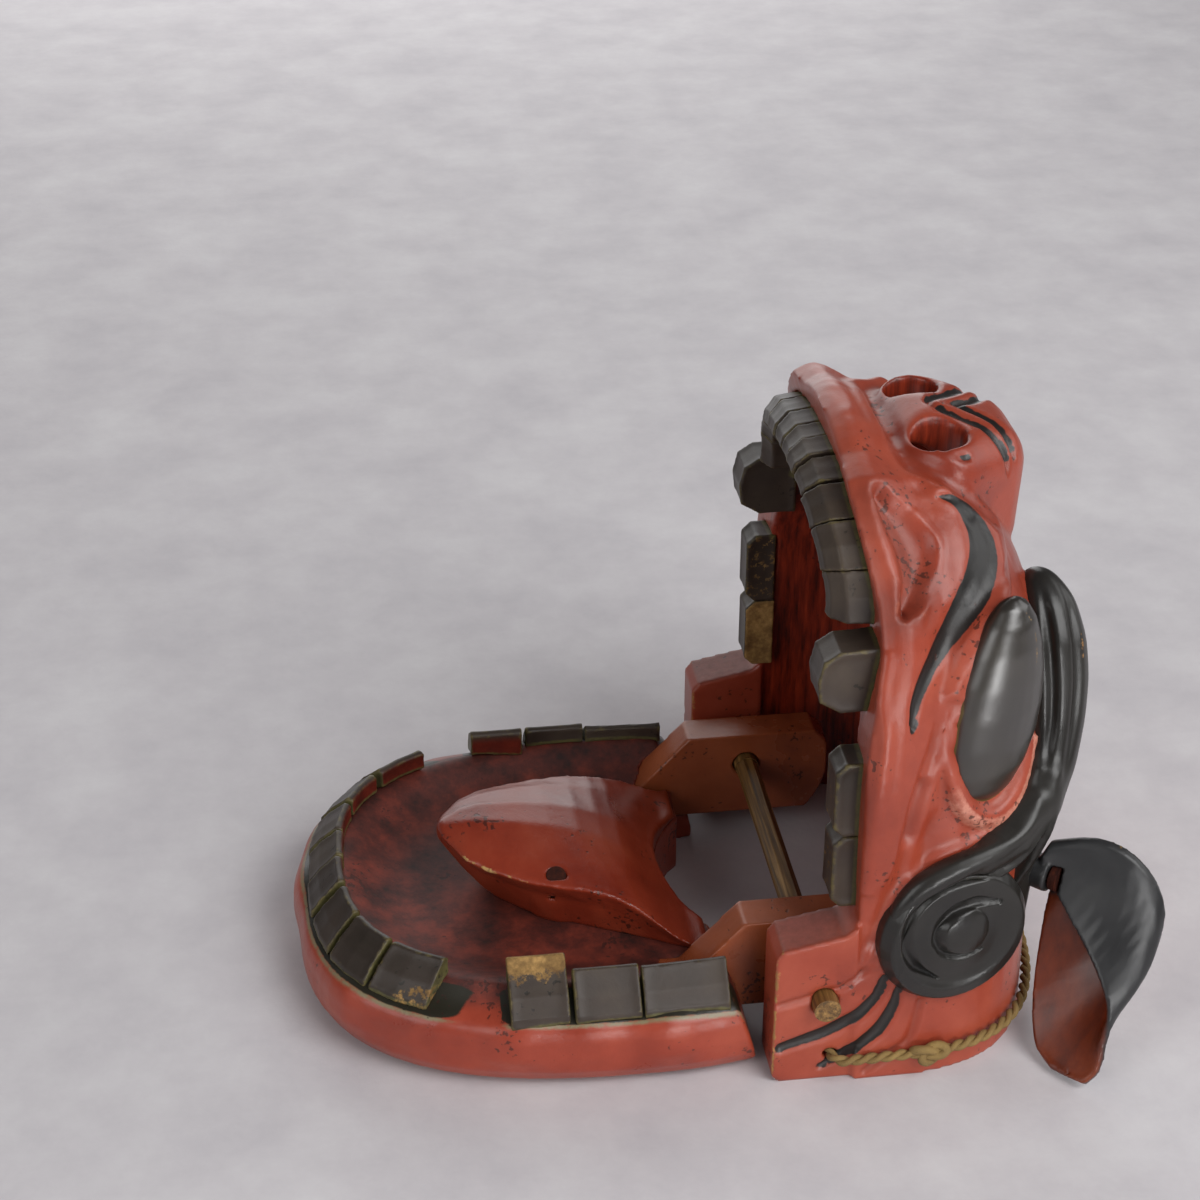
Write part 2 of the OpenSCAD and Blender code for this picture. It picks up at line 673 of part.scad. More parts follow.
module lower_front_raw() {
    for (k = [0:lower_teeth - 1]) {
        half_gap = atan(lower_gap / (jaw_w - 2 * rim_edge));
        loft([lower_section(lower_angle(k) - half_gap),
            lower_section((lower_angle(k) + lower_angle(k + 1)) / 2),
            lower_section(lower_angle(k + 1) + half_gap)]);
    }
}
// The side teeth: middle, length, share of the full height, and reach in over the floor
lower_row = [[-110, 23, 1.35, 6], [-83, 26, 1, 0], [-52, 34, 0.85, 0]];
module lower_side_raw() {
    for (t = lower_row) {
        loft([for (x = [t[0] - t[1] / 2, t[0] + t[1] / 2])
            [for (c = lower_outline(lower_tooth_h * t[2], t[3]))
                [x, -jaw_w / 2 + side_taper(x) + c[0], c[1]]]]);
    }
}

// Lacing cord: laid tight round the outside of the rear rim, knotted inside both cheeks
cord_gap = 0.6;
cord_lay = cord_d / 2 + cord_gap;
cord_end = block_in - 1;
// How the cord turns from its hole on to the cheek: along the cheek, and out of it
cord_turn = [[0, -1], [1, 2.4], [4, half_w(cord_z, 0) - block_out + cord_lay]];
cord_free = 5;
module cord_raw() {
    near = concat([[cord_x, -cord_end, cord_z]],
        [for (t = cord_turn) [cord_x + t[0], -block_out - t[1], cord_z]]);
    bend = [for (i = [cord_free:around - cord_free]) let(p = skin(ring_angle(i), cord_z))
        p + cord_lay * outward(p)];
    far = [for (i = [0:3]) [near[3 - i][0], -near[3 - i][1], cord_z]];
    strand([for (p = concat(near, bend, far)) [p, cord_d / 2]], [0, 0, 1]);
}
stop_len = 8;
stop_tip = 0.6;
module cord_stop_raw() {
    translate([cord_x, -cord_end, cord_z]) rotate([-90, 0, 0]) {
        cylinder(r1 = cord_d / 2, r2 = cord_d, h = stop_len / 2);
        translate([0, 0, stop_len / 2]) cylinder(r1 = cord_d, r2 = cord_d * stop_tip, h = stop_len / 2);
    }
}

// Axle: a round rod, pared to eight sides between the jaw arms
axle_flat = arm_gap - 6;
axle_pare = 0.8;
axle_sides = 8;
axle_set = 180 / axle_sides;

// The whole part is moved along X so that its middle stands over the origin
ear_back = max([for (j = [0:ear_last * ear_fine]) for (i = [0:ear_across]) for (side = [-1, 1])
    ear_point(j / ear_fine, -1 + 2 * i / ear_across, side * ear_t / 2)[0]]);
shift = (jaw_len - ear_back) / 2;

red = [0.69, 0.30, 0.22];
black = [0.13, 0.12, 0.11];
wood = [0.62, 0.45, 0.25];
brown = [0.45, 0.20, 0.12];

module head_shell() {
    color(red) difference() {
        carved() difference() {
            head_raw();
            nose_raw();
            upper_front_raw();
            for (side = [-1, 1]) {
                on_side(side) {
                    eye_raw();
                    brow_raw();
                    curl_raw();
                    fang_raw();
                    molars_raw();
                }
            }
        }
        for (side = [-1, 1]) {
            on_side(side) along_peg() translate([0, 0, -peg_in]) cylinder(r = ear_peg_r, h = peg_len);
        }
    }
}
module cheek_block(side) {
    color(red) on_side(side) block_raw();
}
module nose() {
    color(red) difference() {
        nose_seated();
        for (side = [-1, 1]) {
            translate([nose_x - nostril_in, side * nostril_gap / 2, nose_z + wing_r - nostril_depth])
                cylinder(r = nostril_r, h = nostril_depth + nostril_over);
        }
    }
}
module eye(side) {
    color(black) eye_seated(side);
}
module brow(side) {
    color(black) brow_seated(side);
}
module cheek_curl(side) {
    color(black) curl_seated(side);
}
module upper_front_teeth() {
    color(black) upper_front_raw();
}
module upper_fang(side) {
    color(black) on_side(side) fang_raw();
}
module upper_molars(side) {
    color(black) on_side(side) molars_raw();
}
module axle_rod() {
    end = block_out + axle_stub;
    color(wood) translate([0, 0, axle_z]) rotate([90, 0, 0]) {
        for (y = [-end, axle_flat / 2]) {
            translate([0, 0, y]) cylinder(d = axle_d, h = end - axle_flat / 2);
        }
        translate([0, 0, -axle_flat / 2]) rotate(axle_set)
            cylinder(d = axle_d - axle_pare, h = axle_flat, $fn = axle_sides);
    }
}
module ear_peg(side) {
    color(wood) on_side(side) along_peg() {
        translate([0, 0, -peg_in]) cylinder(r = ear_peg_r, h = peg_len);
        translate([0, 0, ear_stem + boss_t / 2 + head_gap]) cylinder(r = peg_head_r, h = peg_head_h);
    }
}
module lacing_cord() {
    color(wood) cord_raw();
}
module cord_stop(side) {
    color(wood) on_side(side) cord_stop_raw();
}
module lower_jaw() {
    color(red) difference() {
        carved() jaw_board();
        notch();
        floor_out();
        for (side = [-1, 1]) {
            on_side(side) arm_raw();
        }
        tongue_peg_raw();
        translate([tie_x, -tie_y, -eps]) cylinder(r = tie_r, h = rim_h);
    }
}
module jaw_arm(side) {
    color(brown) on_side(side) arm_raw();
}
module tongue() {
    color(red) difference() {
        tongue_raw();
        notch();
        for (side = [-1, 1]) {
            on_side(side) arm_raw();
        }
        tongue_peg_raw();
    }
}
module tongue_peg() {
    color(wood) tongue_peg_raw();
}
module lower_front_teeth() {
    color(black) carved() difference() {
        lower_front_raw();
        jaw_board();
    }
}
module lower_teeth_row(side) {
    color(black) carved() difference() {
        on_side(side) lower_side_raw();
        jaw_board();
    }
}
module ear(side) {
    color(black) on_side(side) ear_raw();
}

translate([shift, 0, 0]) {
    head_shell();
    cheek_block(-1);  // left_cheek_block
    cheek_block(1);  // right_cheek_block
    nose();
    eye(-1);  // left_eye
    eye(1);  // right_eye
    brow(-1);  // left_brow
    brow(1);  // right_brow
    cheek_curl(-1);  // left_cheek_curl
    cheek_curl(1);  // right_cheek_curl
    upper_front_teeth();
    upper_fang(-1);  // left_upper_fang
    upper_fang(1);  // right_upper_fang
    upper_molars(-1);  // left_upper_molars
    upper_molars(1);  // right_upper_molars
    axle_rod();
    ear_peg(-1);  // left_ear_peg
    ear_peg(1);  // right_ear_peg
    lacing_cord();
    cord_stop(-1);  // left_cord_stop
    cord_stop(1);  // right_cord_stop
    lower_jaw();
    jaw_arm(-1);  // left_jaw_arm
    jaw_arm(1);  // right_jaw_arm
    tongue();
    tongue_peg();
    lower_front_teeth();
    lower_teeth_row(-1);  // left_lower_teeth
    lower_teeth_row(1);  // right_lower_teeth
    ear(-1);  // left_ear
    ear(1);  // right_ear
}
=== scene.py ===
import math

import bmesh
import bpy
import numpy as np
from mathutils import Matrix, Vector
from mathutils.bvhtree import BVHTree


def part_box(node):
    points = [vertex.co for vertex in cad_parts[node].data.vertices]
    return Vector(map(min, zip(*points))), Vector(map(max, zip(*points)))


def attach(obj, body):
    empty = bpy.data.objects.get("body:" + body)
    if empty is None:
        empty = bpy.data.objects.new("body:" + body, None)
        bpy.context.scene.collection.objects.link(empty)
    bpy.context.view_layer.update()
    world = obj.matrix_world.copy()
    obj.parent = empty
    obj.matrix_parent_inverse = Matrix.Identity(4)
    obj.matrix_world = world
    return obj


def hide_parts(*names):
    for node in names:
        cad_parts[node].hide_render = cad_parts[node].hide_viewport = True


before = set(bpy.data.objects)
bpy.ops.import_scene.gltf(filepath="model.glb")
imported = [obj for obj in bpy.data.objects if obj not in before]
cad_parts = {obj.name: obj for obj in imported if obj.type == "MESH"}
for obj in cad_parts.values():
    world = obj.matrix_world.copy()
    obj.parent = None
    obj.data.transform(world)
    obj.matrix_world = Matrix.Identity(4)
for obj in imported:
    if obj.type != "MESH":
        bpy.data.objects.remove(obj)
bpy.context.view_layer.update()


# Studio. The head stands on its rear rim on a plain pale plastered table top. One broad soft lamp
# hangs in front, weaker ones fill from the left, from the right and from low in front, and light comes
# back from a wide pale wall behind.
def linear(shade):
    parts = [int(shade[i:i + 2], 16) / 255 for i in (1, 3, 5)]
    return [v / 12.92 if v <= 0.04045 else ((v + 0.055) / 1.055) ** 2.4 for v in parts] + [1.0]


def add(tree, kind, sockets=None, stops=None, **settings):
    made = tree.nodes.new("ShaderNode" + kind)
    for key, value in settings.items():
        setattr(made, key, value)
    for i, (place, shade) in enumerate(stops or []):
        elements = made.color_ramp.elements
        step = elements[i] if i < len(elements) else elements.new(place)
        step.position = place
        step.color = linear(shade) if isinstance(shade, str) else [shade, shade, shade, 1.0]
    for key, value in (sockets or {}).items():
        if isinstance(value, bpy.types.NodeSocket):
            tree.links.new(value, made.inputs[key])
        else:
            made.inputs[key].default_value = value
    return made


def new_finish(name):
    finish = bpy.data.materials.new(name)
    finish.use_nodes = True
    finish.node_tree.nodes.clear()
    return finish, finish.node_tree


axle_low, axle_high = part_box("axle_rod")
hinge_x = (axle_low.x + axle_high.x) / 2

eye_point = bpy.data.objects.new("camera", bpy.data.cameras.new("camera"))
eye_point.location = (hinge_x - 0.1825, -0.8165, 0.6375)
eye_point.rotation_euler = (math.radians(60), 0, math.radians(-7.6))
eye_point.data.lens = 72
eye_point.data.sensor_width = 36
bpy.context.scene.collection.objects.link(eye_point)
bpy.context.scene.camera = eye_point
bpy.context.scene.view_settings.view_transform = "Standard"

lamps = (("window_lamp", (0.95, -1.2, 1.5), 1.4, 32), ("left_lamp", (-1.3, -1.0, 0.8), 1.0, 8),
         ("front_lamp", (0.236, -0.967, 0.12), 0.3, 3), ("side_lamp", (1.6, 0.1, 0.9), 1.1, 6),
         ("wall_lamp", (-0.1, 1.7, 0.7), 1.7, 15))
for name, place, size, power in lamps:
    lamp = bpy.data.objects.new(name, bpy.data.lights.new(name, "AREA"))
    lamp.data.size = size
    lamp.data.energy = power
    lamp.location = place
    lamp.visible_camera = False
    lamp.rotation_euler = (Vector((0, 0, 0.1)) - Vector(place)).to_track_quat("-Z", "Y").to_euler()
    bpy.context.scene.collection.objects.link(lamp)

sky = bpy.data.worlds.new("sky")
sky.use_nodes = True
sky.node_tree.nodes["Background"].inputs["Color"].default_value = linear("#e9e7ea")
sky.node_tree.nodes["Background"].inputs["Strength"].default_value = 0.13
bpy.context.scene.world = sky

# Plaster: brushed on and rubbed, so it clouds over 60 mm and has a 3 mm tooth.
plaster, tree = new_finish("rubbed_plaster")
spot = add(tree, "TexCoord").outputs["Object"]
cloud = add(tree, "TexNoise", {"Vector": spot, "Scale": 16, "Detail": 6, "Roughness": 0.65})
shade = add(tree, "ValToRGB", {"Fac": cloud.outputs["Fac"]},
            stops=[(0.3, "#c3bfc3"), (0.5, "#cdc9cc"), (0.7, "#d6d3d5")])
tooth = add(tree, "TexNoise", {"Vector": spot, "Scale": 330, "Detail": 3})
rub = add(tree, "Bump", {"Height": tooth.outputs["Fac"], "Strength": 0.12, "Distance": 0.001})
skin = add(tree, "BsdfPrincipled", {"Base Color": shade.outputs["Color"], "Roughness": 0.75,
                                    "Normal": rub.outputs["Normal"]})
add(tree, "OutputMaterial", {"Surface": skin.outputs["BSDF"]})
shape = bmesh.new()
bmesh.ops.create_grid(shape, x_segments=1, y_segments=1, size=4)
table = bpy.data.objects.new("table", bpy.data.meshes.new("table"))
shape.to_mesh(table.data)
shape.free()
table.data.materials.append(plaster)
bpy.context.scene.collection.objects.link(table)


# Lacing cord. Two-ply hemp, laid tight round the outside of the rear rim, run through a hole in
# each cheek block and knotted on the inside. It once tied the dancer's cloth to the head.
def link(piece):
    bpy.context.scene.collection.objects.link(piece)
    return piece


def tube(name, points, radii, closed=False):
    line = bpy.data.curves.new(name, "CURVE")
    line.dimensions = "3D"
    line.bevel_depth = 1
    line.bevel_resolution = 2
    line.use_fill_caps = True
    run = line.splines.new("POLY")
    run.points.add(len(points) - 1)
    run.use_cyclic_u = closed
    for point, place, radius in zip(run.points, points, radii):
        point.co = (*place, 1)
        point.radius = radius
    holder = link(bpy.data.objects.new(name, line))
    mesh = bpy.data.meshes.new_from_object(holder.evaluated_get(bpy.context.evaluated_depsgraph_get()))
    bpy.data.objects.remove(holder)
    return mesh


def joined(name, meshes):
    shape = bmesh.new()
    for mesh in meshes:
        shape.from_mesh(mesh)
    bmesh.ops.recalc_face_normals(shape, faces=shape.faces)
    piece = link(bpy.data.objects.new(name, bpy.data.meshes.new(name)))
    shape.to_mesh(piece.data)
    shape.free()
    piece.data.shade_smooth()
    return piece


cord_d, cord_z, cord_lay = 0.0046, 0.012, 0.0029
rim_half, rim_deep, mouth_x, rim_round = 0.10998, 0.085, 0.012, 3.3
near_turn = [(0.003, -0.086), (0.003, -0.107), (0.004, -0.1104), (0.007, -0.11288)]
rim_turn = []
for i in range(5, 40):
    angle = math.radians(-90 + 180 * i / 44)
    c, s = math.cos(angle), math.sin(angle)
    r = (abs(c) ** rim_round + abs(s) ** rim_round) ** (-1 / rim_round)
    x, y = mouth_x + rim_deep * c * r, rim_half * s * r
    out = math.hypot(x - mouth_x - 0.02, y)
    rim_turn.append((x + cord_lay * (x - mouth_x - 0.02) / out, y + cord_lay * y / out))
far_turn = [(x, -y) for x, y in reversed(near_turn)]
route = np.array([(x + hinge_x, y, cord_z) for x, y in near_turn + rim_turn + far_turn])
steps = np.linalg.norm(np.diff(route, axis=0), axis=1)
along = np.concatenate([[0], np.cumsum(steps)])
cord_length = float(along[-1])
fine = np.linspace(0, cord_length, 420)
middle = np.stack([np.interp(fine, along, route[:, k]) for k in range(3)], 1)
for _ in range(3):
    middle[1:-1] = (middle[:-2] + 2 * middle[1:-1] + middle[2:]) / 4
ahead = np.gradient(middle, axis=0)
ahead /= np.linalg.norm(ahead, axis=1, keepdims=True)
up = np.array([0, 0, 1.0])
side = np.cross(ahead, up)
side /= np.linalg.norm(side, axis=1, keepdims=True)
ply_pitch, ply_r, ply_off = 0.012, 0.00125, 0.00105
plies = []
for turn in (0, math.pi):
    a = 2 * math.pi * fine / ply_pitch + turn
    plies.append(tube("ply", middle + ply_off * (np.cos(a)[:, None] * side + np.sin(a)[:, None] * up),
                      [ply_r] * len(fine)))
cord = joined("hemp_cord", plies)

# Hemp twine: dry bast fibre, matt, with fine pale flecks, and dark where it is handled.
hemp, tree = new_finish("hemp_twine")
spot = add(tree, "TexCoord").outputs["Object"]
stain = add(tree, "TexNoise", {"Vector": spot, "Scale": 60, "Detail": 5})
fibre = add(tree, "TexNoise", {"Vector": spot, "Scale": 1800, "Detail": 2})
shade = add(tree, "ValToRGB", {"Fac": stain.outputs["Fac"]},
            stops=[(0.3, "#46361d"), (0.5, "#715a31"), (0.68, "#917742")])
fleck = add(tree, "Mix", {0: fibre.outputs["Fac"], 6: shade.outputs["Color"], 7: linear("#8a7041")},
            data_type="RGBA")
fuzz = add(tree, "Bump", {"Height": fibre.outputs["Fac"], "Strength": 0.5, "Distance": 0.0006})
skin = add(tree, "BsdfPrincipled", {"Base Color": fleck.outputs[2], "Roughness": 0.85,
                                    "Normal": fuzz.outputs["Normal"]})
add(tree, "OutputMaterial", {"Surface": skin.outputs["BSDF"]})
cord.data.materials.append(hemp)

# The cord's ends are joined over the near cheek in a flat overhand knot.
t = np.linspace(0, 2 * math.pi, 60, endpoint=False)
knot_at = np.array([hinge_x + 0.042, -rim_half - cord_lay + 0.0004, cord_z])
knot_path = knot_at + np.stack([0.0024 * (np.sin(t) + 2 * np.sin(2 * t)), -0.0011 * np.sin(3 * t),
                                0.0014 * (np.cos(t) - 2 * np.cos(2 * t))], 1)
knot = joined("cord_knot", [tube("knot", knot_path, [0.0018] * len(t), True)])
knot.data.materials.append(hemp)
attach(knot, "head")
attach(cord, "head")
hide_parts("lacing_cord")
for side_name in ("left", "right"):
    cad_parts[side_name + "_cord_stop"].data.materials.clear()
    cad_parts[side_name + "_cord_stop"].data.materials.append(hemp)


# Carved head. One block of light wood, hollowed to a 16 mm wall, with the cheek blocks and the nose
# left standing on it. It is carved, primed and brushed with vermilion lacquer, and long handled.
def solid_of(*names):
    shape = bmesh.new()
    for name in names:
        shape.from_mesh(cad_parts[name].data)
    bmesh.ops.remove_doubles(shape, verts=shape.verts, dist=1e-6)
    return shape


def carving(name, shape, voxel):
    mesh = bpy.data.meshes.new(name)
    shape.to_mesh(mesh)
    shape.free()
    piece = link(bpy.data.objects.new(name, mesh))
    grain = piece.modifiers.new("voxels", "REMESH")
    grain.mode = "VOXEL"
    grain.voxel_size = voxel
    settle(piece)
    piece.data.materials.clear()
    piece.data.shade_smooth()
    return piece


def settle(piece):
    whole = bpy.data.meshes.new_from_object(piece.evaluated_get(bpy.context.evaluated_depsgraph_get()))
    piece.modifiers.clear()
    piece.data = whole


def thinned(piece, most):
    count = sum(len(face.vertices) - 2 for face in piece.data.polygons)
    if count > most:
        piece.modifiers.new("thin", "DECIMATE").ratio = most / count
        settle(piece)


def places(piece):
    flat = np.empty(len(piece.data.vertices) * 3, np.float32)
    piece.data.vertices.foreach_get("co", flat)
    return flat.reshape(-1, 3).astype(float) * 1000 - (hinge_x * 1000, 0, 0)


def set_places(piece, points):
    world = (points + (hinge_x * 1000, 0, 0)) / 1000
    piece.data.vertices.foreach_set("co", world.astype(np.float32).ravel())
    piece.data.update()


def facing(piece):
    flat = np.empty(len(piece.data.vertices) * 3, np.float32)
    piece.data.vertex_normals.foreach_get("vector", flat)
    return flat.reshape(-1, 3).astype(float)


def edges_of(piece):
    flat = np.empty(len(piece.data.edges) * 2, np.int32)
    piece.data.edges.foreach_get("vertices", flat)
    return flat.reshape(-1, 2)


def around(values, edges):
    n = len(values)
    count = np.maximum(np.bincount(edges.ravel(), minlength=n), 1)
    if values.ndim == 1:
        ends, others = edges.T
        total = np.bincount(ends, values[others], n) + np.bincount(others, values[ends], n)
        return total / count
    return np.stack([around(values[:, k], edges) for k in range(values.shape[1])], 1)


def scraped(points, edges, rounds, hold=None, back=0.52):
    give = 1.0 if hold is None else (1 - hold)[:, None]
    for _ in range(rounds):
        points = points + 0.5 * give * (around(points, edges) - points)
        points = points - back * give * (around(points, edges) - points)
    return points


def soften(values, edges, rounds):
    for _ in range(rounds):
        values = (values + around(values, edges)) / 2
    return values


def step(values, low, high):
    share = np.clip((values - low) / (high - low), 0, 1)
    return share * share * (3 - 2 * share)


def reach(points, line):
    line = np.array(line, float)
    best = np.full(len(points), 1e9)
    spot = np.zeros(len(points))
    for k in range(len(line) - 1):
        a, run = line[k], line[k + 1] - line[k]
        s = np.clip((points - a) @ run / max(run @ run, 1e-9), 0, 1)
        d = np.linalg.norm(points - a - s[:, None] * run, axis=1)
        near = d < best
        best[near], spot[near] = d[near], k + s[near]
    return best, spot


def skin_of(piece):
    mesh = bmesh.new()
    mesh.from_mesh(piece.data)
    skin = BVHTree.FromBMesh(mesh)
    mesh.free()
    return skin


def laid_on(skin, line):
    line = drawn_out(line, 8 * len(line))
    found = [skin.find_nearest(Vector((x + hinge_x * 1000, y, z)) / 1000)[0] for x, y, z in line]
    return [(1000 * (v.x - hinge_x), 1000 * v.y, 1000 * v.z) for v in found]


def drawn_out(points, count):
    points = np.array(points, float)
    along = np.concatenate([[0], np.cumsum(np.linalg.norm(np.diff(points, axis=0), axis=1))])
    fine = np.linspace(0, along[-1], count)
    run = np.stack([np.interp(fine, along, points[:, k]) for k in range(points.shape[1])], 1)
    for _ in range(count // 5):
        run[1:-1] = (run[:-2] + 2 * run[1:-1] + run[2:]) / 4
    return run


def lock(points, radii, hand):
    run = drawn_out([(*p, r) for p, r in zip(points, radii)], 48)
    place = [((x + hinge_x * 1000) / 1000, -hand * y / 1000, z / 1000) for x, y, z, r in run]
    return tube("lock", place, [r / 1000 for r in run[:, 3]])


def width_at(spot, line, widths):
    stops = list(widths) if len(widths) > 1 else list(widths) * 2
    return np.interp(spot / (len(line) - 1), np.linspace(0, 1, len(stops)), stops)


def stroke(points, line, widths):
    d, spot = reach(points, line)
    return np.clip(1 - d / width_at(spot, line, widths), 0, 1)


def brushed(points, line, widths):
    # Half strength lies on the edge of the brush mark, so that the finish can draw it sharply.
    d, spot = reach(points, line)
    return 0.5 + 0.5 * np.clip((width_at(spot, line, widths) - d) / 2, -1, 1)


def near_side(points):
    return np.stack([points[:, 0], -np.abs(points[:, 1]), points[:, 2]], 1)


def paint(piece, name, values):
    layer = piece.data.attributes.new(name, "FLOAT", "POINT")
    layer.data.foreach_set("value", np.ascontiguousarray(values, np.float32))


# Curvature maps: 'edge' on convex places, for wear and painted highlight, and 'hollow' in concave places, for
# dirt and painted shade, raised by any extra marks passed in.
def wear_and_light_maps(piece, gain, rounds=4, grime_and_shade=None):
    points, edges = places(piece), edges_of(piece)
    gap = np.linalg.norm(points[edges[:, 0]] - points[edges[:, 1]], axis=1).mean()
    curve = ((points - around(points, edges)) * facing(piece)).sum(1) / gap
    curve = soften(curve, edges, rounds)
    hollow = np.clip(-curve * gain, 0, 1)
    paint(piece, "edge", np.clip(curve * gain, 0, 1))
    paint(piece, "hollow", hollow if grime_and_shade is None else np.maximum(hollow, grime_and_shade))


def lacquer(name, coats, dust_and_shade, edge_wear_and_highlight, wood, rough, second="#191715", pale="#c98a76",
            lining=("#3a120c", "#7a2716", "#a33b21"), lining_way=(420, 420, 16), relief=0.14, bend=1.5,
            chips_from=0.385, dust_veil=0.0):
    # Lacquer is a smooth hard skin: soft wide highlights, rubbed through to the priming and the wood on
    # edges over 2 to 5 mm, dull and darkened in hollows by dirt and painted shade, with small chips and
    # brush drag. On the red lacquers the lighter priming colour on the edges is also a painted highlight.
    finish, tree = new_finish(name)
    spot = add(tree, "TexCoord").outputs["Object"]
    mask = {key: add(tree, "Attribute", attribute_name=key).outputs["Fac"]
            for key in ("edge", "hollow", "black", "inside", "bare", "pale")}
    broad = add(tree, "TexNoise", {"Vector": spot, "Scale": 24, "Detail": 5,
                                   "Roughness": 0.6}).outputs["Fac"]
    small = add(tree, "TexNoise", {"Vector": spot, "Scale": 280, "Detail": 6,
                                   "Roughness": 0.7}).outputs["Fac"]
    body = add(tree, "ValToRGB", {"Fac": broad},
               stops=[(0.3, coats[0]), (0.5, coats[1]), (0.72, coats[2])])
    colour = body.outputs["Color"]
    # The grain of the board is 1 to 2 mm wide and some 60 mm long.
    long_way = add(tree, "Mapping", {"Vector": spot, "Scale": lining_way})
    grain = add(tree, "TexNoise", {"Vector": long_way.outputs["Vector"], "Scale": 1, "Detail": 5,
                                   "Roughness": 0.7}).outputs["Fac"]
    drawn = add(tree, "ValToRGB", {"Fac": grain},
                stops=[(0.32, lining[0]), (0.5, lining[1]), (0.7, lining[2])])
    colour = add(tree, "Mix", {0: mask["inside"], 6: colour, 7: drawn.outputs["Color"]},
                 data_type="RGBA").outputs[2]
    faded = add(tree, "Math", {0: mask["pale"], 1: small}, operation="MULTIPLY").outputs["Value"]
    faint = add(tree, "ValToRGB", {"Fac": faded}, stops=[(0.2, 0.0), (0.55, 0.9)]).outputs["Color"]
    colour = add(tree, "Mix", {0: faint, 6: colour, 7: linear(pale)}, data_type="RGBA").outputs[2]
    # A brush mark is sharp within half a millimetre, with a slightly ragged edge.
    ragged = add(tree, "MapRange", {"Value": small, "From Min": 0.3, "From Max": 0.7, "To Min": -0.06,
                                    "To Max": 0.06}).outputs["Result"]
    wet = add(tree, "Math", {0: mask["black"], 1: ragged}, operation="ADD").outputs["Value"]
    laid = add(tree, "ValToRGB", {"Fac": wet}, stops=[(0.46, 0.0), (0.56, 1.0)]).outputs["Color"]
    colour = add(tree, "Mix", {0: laid, 6: colour, 7: linear(second)}, data_type="RGBA").outputs[2]
    # Chips: dark flecks of 1 to 3 mm that come in patches.
    patch = add(tree, "TexNoise", {"Vector": spot, "Scale": 38, "Detail": 3}).outputs["Fac"]
    chips = add(tree, "TexNoise", {"Vector": spot, "Scale": 430, "Detail": 2,
                                   "Roughness": 0.5}).outputs["Fac"]
    chipped = add(tree, "Math", {0: patch, 1: chips}, operation="MULTIPLY").outputs["Value"]
    chip = add(tree, "ValToRGB", {"Fac": chipped},
               stops=[(chips_from, 0.0), (chips_from + 0.04, 0.75)]).outputs["Color"]
    colour = add(tree, "Mix", {0: chip, 6: colour, 7: linear(dust_and_shade)}, data_type="RGBA").outputs[2]
    # Dirt and painted shade darken the hollows. The lacquer is frayed along the rubbed edges, and there
    # its priming colour is partly wear and, on the red lacquers, partly a painted highlight.
    grime_and_shade = add(tree, "MapRange", {"Value": small, "From Min": 0.3, "From Max": 0.7, "To Min": 0.55,
                                   "To Max": 1.0})
    dirt_and_shade = add(tree, "Math", {0: mask["hollow"], 1: grime_and_shade.outputs["Result"]},
               operation="MULTIPLY").outputs["Value"]
    colour = add(tree, "Mix", {0: dirt_and_shade, 6: colour, 7: linear(dust_and_shade)}, data_type="RGBA").outputs[2]
    fray = add(tree, "MapRange", {"Value": small, "From Min": 0.35, "From Max": 0.65, "To Min": -0.3,
                                  "To Max": 0.3})
    torn_and_lit = add(tree, "Math", {0: mask["edge"], 1: fray.outputs["Result"]}, operation="ADD").outputs["Value"]
    rubbed_and_lit = add(tree, "ValToRGB", {"Fac": torn_and_lit}, stops=[(0.35, 0.0), (0.75, 0.9)]).outputs["Color"]
    colour = add(tree, "Mix", {0: rubbed_and_lit, 6: colour, 7: linear(edge_wear_and_highlight)}, data_type="RGBA").outputs[2]
    worn = add(tree, "Math", {0: fray.outputs["Result"], 1: 0.5, 2: mask["bare"]},
               operation="MULTIPLY_ADD").outputs["Value"]
    open_wood = add(tree, "ValToRGB", {"Fac": worn}, stops=[(0.48, 0.0), (0.58, 1.0)]).outputs["Color"]
    board = add(tree, "ValToRGB", {"Fac": grain}, stops=[(0.3, "#4a3018"), (0.5, wood), (0.75, "#c99f60")])
    colour = add(tree, "Mix", {0: open_wood, 6: colour, 7: board.outputs["Color"]},
                 data_type="RGBA").outputs[2]
    dull = add(tree, "MapRange", {"Value": broad, "From Min": 0.3, "From Max": 0.7, "To Min": rough[0],
                                  "To Max": rough[1]}).outputs["Result"]
    matt = add(tree, "Math", {0: dirt_and_shade, 1: open_wood}, operation="MAXIMUM").outputs["Value"]
    dull = add(tree, "Mix", {0: matt, 2: dull, 3: 0.75}, data_type="FLOAT").outputs[0]
    dusty = add(tree, "Math", {0: mask["inside"], 1: dust_veil}, operation="MULTIPLY").outputs["Value"]
    dull = add(tree, "Mix", {0: dusty, 2: dull, 3: 0.7}, data_type="FLOAT").outputs[0]
    height = add(tree, "Math", {0: chip, 1: -1.2, 2: small}, operation="MULTIPLY_ADD").outputs["Value"]
    ribs = add(tree, "Math", {0: grain, 1: mask["inside"], 2: height},
               operation="MULTIPLY_ADD").outputs["Value"]
    rise = add(tree, "Bump", {"Height": ribs, "Strength": relief, "Distance": 0.0012})
    skin = add(tree, "BsdfPrincipled", {"Base Color": colour, "Roughness": dull, "IOR": bend,
                                        "Normal": rise.outputs["Normal"]})
    add(tree, "OutputMaterial", {"Surface": skin.outputs["BSDF"]})
    return finish


# The pale #ad5f45 on its edges is partly rubbed priming and partly painted highlight. #38190f marks the chips
# and darkens the hollows with dirt and painted shade.
vermilion = lacquer("vermilion_lacquer", ("#7e2f1f", "#953d29", "#a54c36"), "#38190f", "#ad5f45",
                    "#a87a45", (0.28, 0.4), chips_from=0.373)
inlays = ("left_eye", "right_eye", "left_brow", "right_brow", "left_cheek_curl", "right_cheek_curl")
shape = solid_of("head_shell", "left_cheek_block", "right_cheek_block", "nose")
